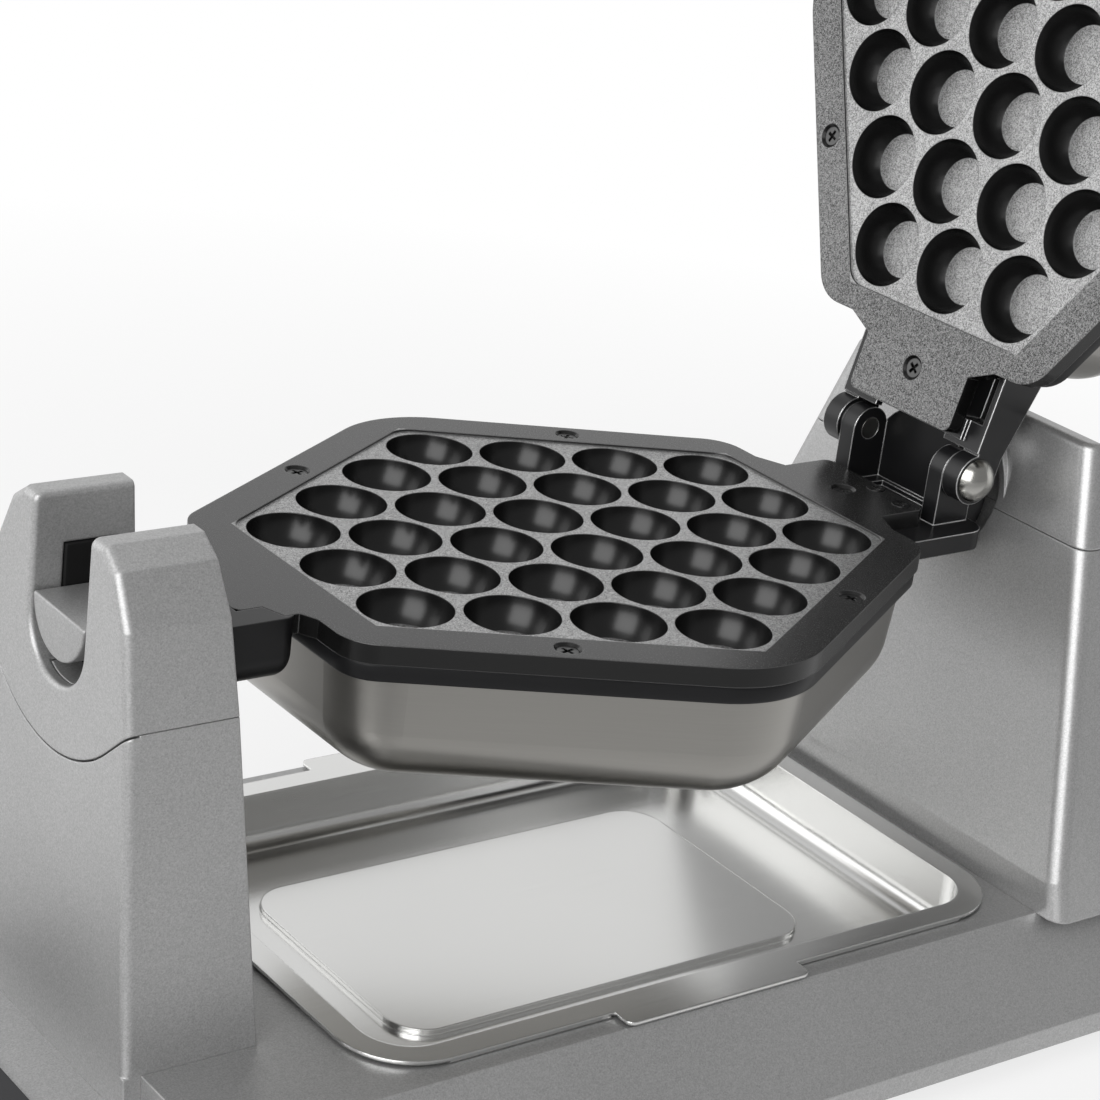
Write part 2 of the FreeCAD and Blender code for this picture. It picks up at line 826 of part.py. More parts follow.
def lug(half):
    body = new_body(f"{half}_lug")
    block = new_sketch(body, "YZ_Plane", out="-lug_end")
    rectangle(block, ("-lug_half", "-lug_depth"), ("lug_half", "-parting_gap / 2"),
              ["lug_corner", "lug_corner", None, None])
    pad(body, block, "lug_end - lug_start")
    ease(body, "Fillet", lambda e: near(e.BoundBox.XMax, "-lug_start")
         and near(e.BoundBox.XMin, "-lug_start") and e.CenterOfMass.z < size("-parting_gap"),
         "lug_round")
    seat = new_sketch(body, "XY_Plane", out="-parting_gap / 2 + overrun")
    clear = "fit_gap"
    polygon(seat, [
        ("-lug_start + overrun", f"-front_flare_half - {clear}"),
        ("-lug_start + overrun", f"front_flare_half + {clear}"),
        (f"-plate_front - front_shoulder - {clear}", f"front_flare_half + {clear}"),
        (f"-plate_front - front_neck - {clear}", f"front_tab_half + {clear}"),
        (f"-front_tab_end - {clear}", f"front_tab_half + {clear}"),
        (f"-front_tab_end - {clear}", f"-front_tab_half - {clear}"),
        (f"-plate_front - front_neck - {clear}", f"-front_tab_half - {clear}"),
        (f"-plate_front - front_shoulder - {clear}", f"-front_flare_half - {clear}"),
    ])
    pocket(body, seat, "flange_depth + overrun")
    socket = circle(new_sketch(body, "YZ_Plane", out="-lug_end - overrun"), "trunnion_radius")
    pocket(body, socket, "lug_end - trunnion_root + overrun", back=True)
    body.Placement = HALVES[half]()


def trunnion(half):
    body = new_body(f"{half}_trunnion")
    disc = circle(new_sketch(body, "YZ_Plane", out="-trunnion_face"), "trunnion_radius")
    pad(body, disc, "trunnion_face - trunnion_root")
    away = new_sketch(body, "XY_Plane", out="-parting_gap / 2")
    span = "trunnion_radius + overrun"
    rectangle(away, ("-trunnion_face - overrun", f"-({span})"), ("-trunnion_root + overrun", span))
    pocket(body, away, span, back=True)
    body.Placement = HALVES[half]()


# Rear yoke with its ears, turning disc, shaft and collar

EAR_OUTER = "(ear_inner + ear_width)"
EYE_INNER = "(ear_inner + ear_width + ear_washer)"
EYE_OUTER = "(ear_inner + ear_width + ear_washer + eye_width)"


def yoke():
    body = new_body("rear_yoke")
    slab = new_sketch(body, "XZ_Plane")
    polygon(slab, [
        ("yoke_start", f"-{FLANGE_BACK}"), ("yoke_start", "-yoke_depth - yoke_lip"),
        ("yoke_start + yoke_lip_width", "-yoke_depth - yoke_lip"),
        ("yoke_start + yoke_lip_width", "-yoke_depth"), ("yoke_end", "-yoke_depth"),
        ("yoke_end", f"-{FLANGE_BACK}"),
    ])
    pad(body, slab, "2 * yoke_half", middle=True)
    ease(body, "Fillet", lambda e: along(e, 2) and near(e.CenterOfMass.x, "yoke_end"), "yoke_round")
    boss = circle(new_sketch(body, "YZ_Plane", out="boss_start"), "boss_radius")
    pad(body, boss, "yoke_end - boss_start")
    above = new_sketch(body, "XY_Plane", out=f"-{FLANGE_BACK}")
    rectangle(above, ("yoke_start - overrun", "-yoke_half"), ("yoke_end + overrun", "yoke_half"))
    pocket(body, above, f"boss_radius + {FLANGE_BACK} + overrun", back=True)
    for side in ("", "-"):
        ear = new_sketch(body, "XZ_Plane", out=f"{side}(ear_inner + ear_width / 2)")
        rectangle(ear, ("hinge_reach - ear_radius", f"-{FLANGE_BACK} - overrun"),
                  ("hinge_reach + ear_radius", "hinge_rise"))
        pad(body, ear, "ear_width", middle=True)
        crown = new_sketch(body, "XZ_Plane", out=f"{side}(ear_inner + ear_width / 2)")
        circle(crown, "ear_radius", "hinge_reach", "hinge_rise")
        pad(body, crown, "ear_width", middle=True)
    bore = circle(new_sketch(body, "XZ_Plane"), "pin_radius", "hinge_reach", "hinge_rise")
    pocket(body, bore, f"2 * {EAR_OUTER} + overrun", middle=True)
    neck = circle(new_sketch(body, "YZ_Plane", out="yoke_end - overrun"), "disc_radius")
    pad(body, neck, "disc_width + overrun")
    ease(body, "Fillet", lambda e: near(e.BoundBox.XMax, "yoke_end + disc_width")
         and near(e.BoundBox.XMin, "yoke_end + disc_width"), "disc_round")
    recess = new_sketch(body, "XY_Plane", out=f"-{FLANGE_BACK} + overrun")
    rectangle(recess, ("yoke_pocket_start", "-yoke_pocket_half"),
              ("yoke_pocket_end", "yoke_pocket_half"))
    pocket(body, recess, "yoke_pocket + overrun")
    seat = circle(new_sketch(body, "XY_Plane", out=f"-{FLANGE_BACK} + overrun"),
                  "screw_shank + fit_gap", "tab_screw_reach", "0")
    pocket(body, seat, "screw_length + overrun")
    bore = circle(new_sketch(body, "YZ_Plane", out="yoke_end + overrun"), "shaft_bore")
    pocket(body, bore, "disc_width + overrun", back=True)
    body.Placement = at_axis()


def shaft():
    body = new_body("turning_shaft")
    tube = circle(new_sketch(body, "YZ_Plane", out="yoke_end + disc_width"), "shaft_radius")
    circle(tube, "shaft_bore")
    pad(body, tube, "shaft_end - yoke_end - disc_width")
    body.Placement = at_axis()


def collar():
    body = new_body("shaft_collar")
    ring = circle(new_sketch(body, "YZ_Plane", out="bush_end + fit_gap"), "collar_radius")
    circle(ring, "shaft_radius")
    pad(body, ring, "collar_width")
    body.Placement = at_axis()


def pin_section():
    """Half a pin's section: its stem, and a head that is domed like part of a ball."""
    stem, head = size("pin_radius - running_clearance / 2"), size("pin_head_radius")
    low, seat = size("ear_inner"), size(f"{EYE_OUTER} + running_clearance")
    ball = size("(pin_head_radius ^ 2 + pin_dome ^ 2) / (2 * pin_dome)")
    crown = seat + size("pin_dome")
    lean = math.asin(head / ball) / 2
    points = [
        FreeCAD.Vector(*place) for place in (
            (0, 0, crown), (0, 0, low), (stem, 0, low), (stem, 0, seat), (head, 0, seat),
        )
    ]
    bulge = FreeCAD.Vector(ball * math.sin(lean), 0, crown - ball + ball * math.cos(lean))
    dome = Part.Arc(points[-1], bulge, points[0]).toShape()
    return Part.Face(Part.Wire(Part.makePolygon(points).Edges + [dome]))


def hinge_pins():
    """Two pins, each with a domed head outside its arm."""
    shapes = []
    for angle in (90, -90):
        pin = pin_section().revolve(FreeCAD.Vector(0, 0, 0), FreeCAD.Vector(0, 0, 1), 360)
        pin.rotate(FreeCAD.Vector(0, 0, 0), FreeCAD.Vector(1, 0, 0), angle)
        pin.translate(FreeCAD.Vector(size("hinge_reach"), 0, size("hinge_rise")))
        shapes.append(pin)
    group = doc.addObject("Part::Feature", "Group")
    group.Shape = Part.makeCompound(shapes)
    group.Label = "hinge_pins"
    made.append(group)
    group.Placement = at_axis()


def hinge_washers():
    shapes = []
    axis = FreeCAD.Vector(0, 1, 0)
    for start in (f"{EAR_OUTER}", f"-{EYE_INNER}"):
        place = FreeCAD.Vector(size("hinge_reach"), size(start), size("hinge_rise"))
        disc = Part.makeCylinder(size("ear_radius"), size("ear_washer"), place, axis)
        hole = Part.makeCylinder(size("pin_radius"), size("ear_washer"), place, axis)
        shapes.append(disc.cut(hole))
    group = doc.addObject("Part::Feature", "Group")
    group.Shape = Part.makeCompound(shapes)
    group.Label = "hinge_washers"
    made.append(group)
    group.Placement = at_axis()


def hinge_arms():
    """The upper pan's casting: a bridge behind the tab and two channelled arms with eyes."""
    body = new_body("hinge_arms")
    bridge = new_sketch(body, "XY_Plane", out=f"{FLANGE_BACK}")
    rectangle(bridge, ("bridge_front", "-bridge_half"),
              ("rear_tab_end + bridge_rim", "bridge_half"))
    pad(body, bridge, "bridge_depth")
    arm_half = f"({EYE_OUTER} - arm_inner) / 2"
    eye_half = "eye_width / 2"
    for side in ("", "-"):
        arm = new_sketch(body, "XZ_Plane", out=f"{side}(arm_inner + {arm_half})")
        polygon(arm, [
            ("arm_front", "arm_low"), ("hinge_reach - eye_radius - fit_gap", "arm_low"),
            ("hinge_reach - eye_radius - fit_gap", "hinge_rise + eye_radius"),
            ("arm_front", "arm_high"),
        ])
        pad(body, arm, f"2 * ({arm_half})", middle=True)
        away = new_sketch(body, "XZ_Plane", out=f"{side}(arm_inner + ({EYE_INNER} - arm_inner) / 2)")
        rectangle(away, ("arm_inner_end", f"{FLANGE_BACK} + bridge_depth"),
                  ("hinge_reach + overrun", "arm_high + overrun"))
        pocket(body, away, f"{EYE_INNER} - arm_inner", middle=True)
        link = new_sketch(body, "XZ_Plane", out=f"{side}({EYE_INNER} + {eye_half})")
        rectangle(link, ("hinge_reach - eye_radius - overrun", "hinge_rise - arm_floor"),
                  ("hinge_reach", "hinge_rise + eye_radius"))
        pad(body, link, "eye_width", middle=True)
        eye = new_sketch(body, "XZ_Plane", out=f"{side}({EYE_INNER} + {eye_half})")
        circle(eye, "eye_radius", "hinge_reach", "hinge_rise")
        pad(body, eye, "eye_width", middle=True)
        channel = new_sketch(body, "XY_Plane", out="arm_low - overrun")
        low, high = "arm_inner + arm_wall", f"{EYE_OUTER} - arm_wall"
        if side:
            low, high = f"-({high})", f"-({low})"
        rectangle(channel, ("arm_front + arm_wall", low), ("arm_inner_end", high))
        pocket(body, channel, "arm_high - arm_low - arm_floor - arm_wall", back=True)
    bore = circle(new_sketch(body, "XZ_Plane"), "pin_radius", "hinge_reach", "hinge_rise")
    pocket(body, bore, f"2 * {EYE_OUTER} + overrun", middle=True)
    hole = circle(new_sketch(body, "XY_Plane", out=f"{FLANGE_BACK} - overrun"),
                  "screw_shank + fit_gap", "tab_screw_reach", "0")
    pocket(body, hole, "screw_length + overrun", back=True)
    body.Placement = opened()


# Handle of the upper pan

def handle_stem():
    body = new_body("handle_stem")
    rod = circle(new_sketch(body, "YZ_Plane", out="-trunnion_face - stem_length"), "stem_radius")
    pad(body, rod, "stem_length")
    body.Placement = opened()


def handle_grip():
    """A turned grip, drawn in at its waist."""
    body = new_body("handle_grip")
    start = "(trunnion_face + stem_length)"
    profile = new_sketch(body, "XY_Plane")
    polygon(profile, [
        (f"-{start}", "0"), (f"-{start}", "grip_radius - grip_waist"),
        (f"-{start} - grip_cap", "grip_radius"),
        (f"-{start} - grip_length / 2", "grip_radius - grip_waist"),
        (f"-{start} - grip_length + grip_cap", "grip_radius"),
        (f"-{start} - grip_length", "grip_radius - grip_waist"), (f"-{start} - grip_length", "0"),
    ])
    turned(body, "Revolution", profile, axis="H_Axis")
    ease(body, "Fillet", lambda e: near(e.CenterOfMass.x, f"-{start} - grip_cap")
         or near(e.CenterOfMass.x, f"-{start} - grip_length + grip_cap"), "grip_waist")
    body.Placement = opened()


# Front post, its cover and the bearing in its notch

def post_front_outline():
    return [
        ("post_foot_half", "-deck_drop"), ("post_seam_half", "-cap_seam"),
        ("post_shoulder_half", "post_shoulder"), ("post_crest_half", "post_crest"),
        ("post_top_half", "post_top"), ("-post_top_half", "post_top"),
        ("-post_crest_half", "post_crest"), ("-post_shoulder_half", "post_shoulder"),
        ("-post_seam_half", "-cap_seam"), ("-post_foot_half", "-deck_drop"),
    ]


def post_inner_lean(body):
    """Cut the post's inner side to its lean."""
    lean = new_sketch(body, "XZ_Plane")
    high = "post_top + overrun"
    rise = f"({high} + deck_drop) / (post_top + deck_drop)"
    top = f"(-post_front + post_foot_depth - (post_foot_depth - post_top_depth) * {rise})"
    polygon(lean, [
        (top, high), ("-post_front + post_foot_depth", "-deck_drop"),
        ("-post_front + post_foot_depth + overrun", "-deck_drop"),
        ("-post_front + post_foot_depth + overrun", high),
    ])
    pocket(body, lean, "2 * post_foot_half + overrun", middle=True)


def post_solid(body):
    face = polygon(new_sketch(body, "YZ_Plane", out="-post_front"), post_front_outline())
    pad(body, face, "post_foot_depth")
    post_inner_lean(body)
    ease(body, "Fillet", lambda e: near(e.BoundBox.XMin, "-post_front")
         and near(e.BoundBox.XMax, "-post_front") and e.CenterOfMass.z > size("-deck_drop + 1"),
         "post_edge")


def lip_pocket(body):
    """Cut the post's front for the cover's drooping lip."""
    shield = new_sketch(body, "YZ_Plane", out="-post_front - overrun")
    side, low = "post_seam_half + cap_gap", "-cap_seam - cap_gap"
    polygon(shield, [
        (f"{side} + overrun", "-cap_seam + overrun"), (f"{side} + overrun", low), (side, low),
        ("0", "-cap_lip_point - 2 * cap_gap"), (f"-({side})", low),
        (f"-({side} + overrun)", low), (f"-({side} + overrun)", "-cap_seam + overrun"),
    ], [None, None, None, "cap_lip_round + cap_gap", None, None, None])
    pocket(body, shield, "cap_lip_wall + cap_gap + overrun", back=True)


def post_notch(body):
    """Cut the post's round-bottomed notch, open at the top."""
    slot = new_sketch(body, "YZ_Plane", out="-post_front - overrun")
    rectangle(slot, ("-notch_half", "-notch_bottom"), ("notch_half", "post_top + overrun"),
              ["notch_round", "notch_round", None, None])
    pocket(body, slot, "post_foot_depth + 2 * overrun", back=True)


def front_post():
    body = new_body("front_post")
    post_solid(body)
    above = new_sketch(body, "XY_Plane", out="-cap_seam")
    rectangle(above, ("-post_front - overrun", "-post_foot_half"), ("0", "post_foot_half"))
    pocket(body, above, "cap_seam + post_top + overrun", back=True)
    lip_pocket(body)
    post_notch(body)
    apron = new_sketch(body, "YZ_Plane", out="-post_front")
    spread = "(post_foot_half - post_seam_half) / (deck_drop - cap_seam) * post_apron"
    polygon(apron, [
        ("post_foot_half", "-deck_drop"), ("-post_foot_half", "-deck_drop"),
        (f"-post_foot_half - {spread}", "-deck_drop - post_apron"),
        (f"post_foot_half + {spread}", "-deck_drop - post_apron"),
    ])
    pad(body, apron, "post_apron_wall")
    hollow = new_sketch(body, "XY_Plane", out="-deck_drop - overrun")
    rectangle(hollow, ("-post_front + post_apron_wall + post_wall", "-post_seam_half + post_wall * 2"),
              ("-post_front + post_top_depth - post_wall", "post_seam_half - post_wall * 2"))
    pocket(body, hollow, "deck_drop - cap_seam - cap_lip_drop - post_wall + overrun", back=True)
    body.Placement = at_axis()


def notch_rim(edge):
    """Whether an edge runs round the notch's front, or along it over the two prongs."""
    middle = edge.CenterOfMass
    front = near(edge.BoundBox.XMin, "-post_front") and near(edge.BoundBox.XMax, "-post_front")
    round_it = front and abs(middle.y) < size("notch_half") + NEAR
    over = along(edge, 0) and near(abs(middle.y), "notch_half")
    return (round_it and middle.z > size("-cap_seam - bearing_top")) or (
        over and middle.z > size("post_crest"))


def post_cap():
    body = new_body("post_cap")
    post_solid(body)
    below = new_sketch(body, "XY_Plane", out="-cap_seam + cap_gap")
    rectangle(below, ("-post_front + cap_lip_wall", "-post_foot_half - overrun"),
              ("0", "post_foot_half + overrun"))
    pocket(body, below, "deck_drop", back=False)
    shield = new_sketch(body, "YZ_Plane", out="-post_front - overrun")
    half, seam = "post_foot_half + overrun", "-cap_seam + cap_gap"
    foot = "-deck_drop - overrun"
    polygon(shield, [
        (half, seam), ("post_seam_half", seam), ("0", "-cap_lip_point"),
        ("-post_seam_half", seam), (f"-({half})", seam), (f"-({half})", foot), (half, foot),
    ], [None, None, "cap_lip_round", None, None, None, None])
    pocket(body, shield, "cap_lip_wall + 2 * overrun", back=True)
    post_notch(body)
    seat = new_sketch(body, "YZ_Plane", out="-bearing_start")
    top = "bearing_top + fit_gap"
    rectangle(seat, ("-bearing_half", "0"), ("bearing_half", top))
    reach = "bearing_start - bearing_end"
    pocket(body, seat, reach, back=True)
    bowl = circle(new_sketch(body, "YZ_Plane", out="-bearing_start"), "bearing_half")
    pocket(body, bowl, reach, back=True)
    ease(body, "Fillet", notch_rim, "notch_edge")
    body.Placement = at_axis()


def post_bearing():
    body = new_body("post_bearing")
    start = "-bearing_start + fit_gap"
    reach = "bearing_start - bearing_end - 2 * fit_gap"
    half = "bearing_half - running_clearance"
    block = new_sketch(body, "YZ_Plane", out=start)
    rectangle(block, (f"-({half})", "0"), (half, "bearing_top"))
    pad(body, block, reach)
    bowl = circle(new_sketch(body, "YZ_Plane", out=start), half)
    pad(body, bowl, reach)
    over = new_sketch(body, "YZ_Plane", out=f"{start} - overrun")
    rectangle(over, ("-bearing_half - overrun", "bearing_top"),
              ("bearing_half + overrun", "bearing_half + overrun"))
    pocket(body, over, f"{reach} + 2 * overrun", back=True)
    bore = "trunnion_radius + running_clearance"
    slot = new_sketch(body, "YZ_Plane", out=f"{start} - overrun")
    rectangle(slot, (f"-({bore})", "0"), (bore, "bearing_top + overrun"))
    pocket(body, slot, f"{reach} + 2 * overrun", back=True)
    round_bore = circle(new_sketch(body, "YZ_Plane", out=f"{start} - overrun"), bore)
    pocket(body, round_bore, f"{reach} + 2 * overrun", back=True)
    body.Placement = at_axis()


# Base casing

DECK = "(axis_height - deck_drop)"
TOE_TOP = "(axis_height - deck_drop - post_apron)"


def base_side_outline(reach, low):
    """The casing's outline from the side, drawn in by a reach."""
    return [
        (f"base_rear - ({reach})", low), (f"base_rear - ({reach})", f"{DECK} - ({reach})"),
        (f"-deck_edge + ({reach}) * 2", f"{DECK} - ({reach})"),
        (f"-deck_edge + ({reach}) * 2", f"{TOE_TOP} - ({reach})"),
        ("-post_front", f"{TOE_TOP} - ({reach})"),
        (f"-base_front + ({reach})", f"foot_height + toe_lip - ({reach})"),
        (f"-base_front + ({reach})", low),
    ]


def base_casing():
    body = new_body("base_casing")
    side = polygon(new_sketch(body, "XZ_Plane"), base_side_outline("0", "foot_height"))
    pad(body, side, "2 * base_half", middle=True)
    for sign in ("", "-"):
        slope = new_sketch(body, "YZ_Plane", out="-base_front - overrun")
        polygon(slope, [
            (f"{sign}deck_half", DECK), (f"{sign}base_half", "foot_height + base_skirt"),
            (f"{sign}(base_half + overrun)", "foot_height + base_skirt"),
            (f"{sign}(base_half + overrun)", f"{DECK} + overrun"),
            (f"{sign}deck_half", f"{DECK} + overrun"),
        ])
        pocket(body, slope, "base_front + base_rear + 2 * overrun", back=True)
    ease(body, "Fillet", lambda e: along(e, 2) and near(abs(e.CenterOfMass.y), "base_half")
         and e.CenterOfMass.x < 0, "base_corner / 4")
    hollow = polygon(new_sketch(body, "XZ_Plane"),
                     base_side_outline("base_wall", "foot_height - overrun"))
    pocket(body, hollow, "2 * (deck_half - base_wall)", middle=True)
    wide = new_sketch(body, "XY_Plane", out="foot_height - overrun")
    half = "base_half - base_wall"
    rectangle(wide, ("-base_front + base_corner / 2", f"-({half})"),
              ("base_rear - base_wall", half))
    pocket(body, wide, "base_skirt + overrun", back=True)
    opening = new_sketch(body, "XY_Plane", out=f"{DECK} - 2 * base_wall")
    reach = "tray_rim - well_gap - well_wall"
    rectangle(opening, (f"-tray_front + {reach}", f"-tray_half + {reach}"),
              (f"tray_rear - ({reach})", f"tray_half - ({reach})"), "tray_corner - tray_rim")
    pocket(body, opening, "3 * base_wall", back=True)
    for sign in ("", "-"):
        port = circle(new_sketch(body, "XY_Plane", out=f"{DECK} - 2 * base_wall"), "bush_radius / 2",
                      "base_rear - bracket_half", f"{sign}bracket_half")
        pocket(body, port, "3 * base_wall", back=True)
    window = new_sketch(body, "XY_Plane", across="-(base_front + post_front) / 2",
                        out="foot_height + base_wall")
    rectangle(window, ("-fascia_length / 2 + fascia_lip", "-fascia_half + fascia_lip"),
              ("fascia_length / 2 - fascia_lip", "fascia_half - fascia_lip"))
    pocket(body, window, f"{TOE_TOP}", back=True)


def base_floor():
    body = new_body("base_floor")
    sheet_top = new_sketch(body, "XY_Plane", out="foot_height")
    gap = "(base_wall + fit_gap)"
    rectangle(sheet_top, (f"-base_front + base_corner / 2 + fit_gap", f"-base_half + {gap}"),
              (f"base_rear - {gap}", f"base_half - {gap}"))
    pad(body, sheet_top, "floor_wall")
    slot = new_sketch(body, "XY_Plane", across="-vent_pitch * (vent_count - 1) / 2",
                      out="foot_height - overrun")
    rectangle(slot, ("-vent_width / 2", "-vent_half"), ("vent_width / 2", "vent_half"))
    cut = pocket(body, slot, "floor_wall + 2 * overrun", back=True)
    count = int(SIZES["vent_count"])
    repeat(body, cut, (slot, ["H_Axis"]), "vent_pitch * (vent_count - 1)", count)


def corner_places(height):
    return [
        (f"{a}foot_reach", f"{b}foot_side", height) for a in ("", "-") for b in ("", "-")
    ]


def feet():
    group_of_turned("rubber_feet", [
        ("foot_screw_head + fit_gap", "0"), ("foot_radius", "0"),
        ("foot_top_radius", "foot_height"), ("foot_screw_shank + fit_gap", "foot_height"),
        ("foot_screw_shank + fit_gap", "foot_screw_head_depth + fit_gap"),
        ("foot_screw_head + fit_gap", "foot_screw_head_depth + fit_gap"),
    ], corner_places("0"))


def foot_screws():
    low = "foot_screw_head_depth / 3"
    group_of_turned("foot_screws", [
        ("0", low), ("foot_screw_head", low), ("foot_screw_head", "foot_screw_head_depth"),
        ("foot_screw_shank", "foot_screw_head_depth"),
        ("foot_screw_shank", "foot_height"), ("0", "foot_height"),
    ], corner_places("0"))


# Drip tray and its well

def rounded_box(body, low, high, start, height, corner, cut=False, back=False):
    """A block with rounded upright edges, added or cut."""
    outline = new_sketch(body, "XY_Plane", out=start)
    rectangle(outline, low, high, corner)
    return (pocket if cut else pad)(body, outline, height, back=back)


TRAY_TOP = "(axis_height - deck_drop + tray_rim_height)"


def basin_form(form, wall):
    """The tray's basin with its rounded floor edge and raised middle, grown by a wall."""
    reach = f"tray_rim - ({wall})"
    low = (f"-tray_front + {reach}", f"-tray_half + {reach}")
    high = (f"tray_rear - ({reach})", f"tray_half - ({reach})")
    floor = f"{TRAY_TOP} - tray_floor_drop - ({wall})"
    rounded_box(form, low, high, TRAY_TOP, f"tray_floor_drop + ({wall})",
                f"tray_corner - ({reach})", back=True)
    ease(form, "Fillet", lambda e: level_at(e, floor), f"tray_floor_round + ({wall})")
    low = (f"-plateau_front + ({wall})", f"-plateau_half + ({wall})")
    high = (f"plateau_rear - ({wall})", f"plateau_half - ({wall})")
    rounded_box(form, low, high, floor, "plateau_rise", f"plateau_corner - ({wall})",
                cut=True, back=True)
    return form


def drip_tray():
    """A drawn tray with a flat rim, two pulls and a raised middle."""
    outer = new_form()
    rounded_box(outer, ("-tray_front", "-tray_half"), ("tray_rear", "tray_half"),
                TRAY_TOP, "tray_wall", "tray_corner", back=True)
    rounded_box(outer, ("-pull_front", "-tray_half - pull_reach"),
                ("pull_rear", "tray_half + pull_reach"), TRAY_TOP, "tray_wall", "pull_corner",
                back=True)
    edge = "tray_half - tray_wall"
    for sign in ("", "-"):
        skirt = new_sketch(outer, "XY_Plane", out=f"{DECK} + fit_gap")
        rectangle(skirt, ("-tray_front + tray_corner", f"{sign}tray_half"),
                  ("-pull_front - tray_wall", f"{sign}({edge})"))
        rectangle(skirt, ("pull_rear + tray_wall", f"{sign}tray_half"),
                  ("tray_rear - tray_corner", f"{sign}({edge})"))
        pad(outer, skirt, "tray_rim_height - fit_gap - tray_wall / 2")
    basin_form(outer, "tray_wall")
    less("drip_tray", outer, basin_form(new_form(), "0"))


def tray_well():
    body = new_body("tray_well")
    inset = "(tray_rim - tray_wall - well_gap - well_wall)"
    depth = "tray_floor_drop + tray_wall + well_gap - tray_rim_height + well_wall - base_wall"
    top = f"({DECK} - base_wall)"
    low = (f"-tray_front + {inset} - well_lip", f"-tray_half + {inset} - well_lip")
    high = (f"tray_rear - {inset} + well_lip", f"tray_half - {inset} + well_lip")
    rounded_box(body, low, high, top, "well_wall", "tray_corner", back=True)
    low = (f"-tray_front + {inset}", f"-tray_half + {inset}")
    high = (f"tray_rear - {inset}", f"tray_half - {inset}")
    rounded_box(body, low, high, top, depth, "tray_corner - tray_rim + well_gap + well_wall",
                back=True)
    low = (f"-tray_front + {inset} + well_wall", f"-tray_half + {inset} + well_wall")
    high = (f"tray_rear - {inset} - well_wall", f"tray_half - {inset} - well_wall")
    rounded_box(body, low, high, top, f"{depth} - well_wall",
                "tray_corner - tray_rim + well_gap", cut=True)


# Rear housing

def housing_lean(height):
    """How far back the housing's leaning face lies at a height over the axis."""
    share = f"(({height}) + deck_drop - housing_band) / (housing_top + deck_drop - housing_band)"
    return f"(housing_front + (housing_lean_top - housing_front) * {share})"


def housing_side(height):
    """The housing's half width at a height over the axis."""
    share = f"(({height}) + deck_drop) / (housing_top + deck_drop)"
    return f"(housing_foot_half - (housing_foot_half - housing_top_half) * {share})"


def housing_face(body, low, high):
    """The housing's front view between two heights, narrowing upwards."""
    face = new_sketch(body, "YZ_Plane", out="housing_front")
    polygon(face, [
        (f"-{housing_side(low)}", low), (housing_side(low), low),
        (housing_side(high), high), (f"-{housing_side(high)}", high),
    ])
    pad(body, face, "base_rear - housing_front")


def lean_front(body, low, high):
    """Cut the housing's front face to its lean."""
    lean = new_sketch(body, "XZ_Plane")
    polygon(lean, [
        (housing_lean(low), low), (housing_lean(high), high),
        ("housing_front - overrun", high), ("housing_front - overrun", low),
    ])
    pocket(body, lean, "2 * housing_foot_half + overrun", middle=True)


def trunnion_recess(body):
    """Round recess in the leaning face, with a floor that the shaft passes."""
    bowl = circle(new_sketch(body, "YZ_Plane", out="housing_front"), "recess_radius")
    pocket(body, bowl, "recess_floor - housing_front", back=True)
    hole = circle(new_sketch(body, "YZ_Plane", out="housing_front"), "shaft_radius + fit_gap")
    pocket(body, hole, "recess_floor + recess_wall + overrun - housing_front", back=True)


def recess_boss(body):
    boss = circle(new_sketch(body, "YZ_Plane", out="recess_floor - recess_wall - overrun"),
                  "recess_radius + recess_rim")
    pad(body, boss, "2 * recess_wall + overrun")


def rear_housing():
    body = new_body("rear_housing")
    seam = "-housing_seam"
    foot = "-deck_drop + housing_band"
    housing_face(body, "-deck_drop", seam)
    lean_front(body, foot, f"{seam} + overrun")
    shoulder = new_sketch(body, "XZ_Plane")
    polygon(shoulder, [
        ("base_rear", "-shoulder_drop"), ("roof_end", seam), ("roof_end", f"{seam} + overrun"),
        ("base_rear + overrun", f"{seam} + overrun"), ("base_rear + overrun", "-shoulder_drop"),
    ])
    pocket(body, shoulder, "2 * housing_foot_half", middle=True)
    ease(body, "Fillet", lambda e: not along(e, 1) and not along(e, 0)
         and e.CenterOfMass.x < size("housing_lean_top"), "housing_edge")
    wall = "housing_wall"
    sections = []
    for height in ("-deck_drop", foot, f"-shoulder_drop - {wall} / 2", seam):
        section = new_sketch(body, "XY_Plane", out=height)
        half = f"({housing_side(height)} - {wall})"
        front = "housing_front" if height == "-deck_drop" else housing_lean(height)
        back = "roof_end" if height == seam else "base_rear"
        rectangle(section, (f"{front} + {wall}", f"-{half}"), (f"{back} - {wall}", half))
        sections.append(section)
    loft(body, "SubtractiveLoft", sections)
    recess_boss(body)
    above = new_sketch(body, "XY_Plane", out=seam)
    span = "housing_foot_half + overrun"
    rectangle(above, ("0", f"-({span})"), ("base_rear + overrun", span))
    pocket(body, above, "recess_radius * 2", back=True)
    trunnion_recess(body)
    back = new_sketch(body, "YZ_Plane", out="base_rear - 2 * housing_wall")
    rectangle(back, ("-panel_half", "-deck_drop + panel_low"),
              ("panel_half", "-deck_drop + panel_high"))
    pocket(body, back, "3 * housing_wall", back=True)
    body.Placement = at_axis()


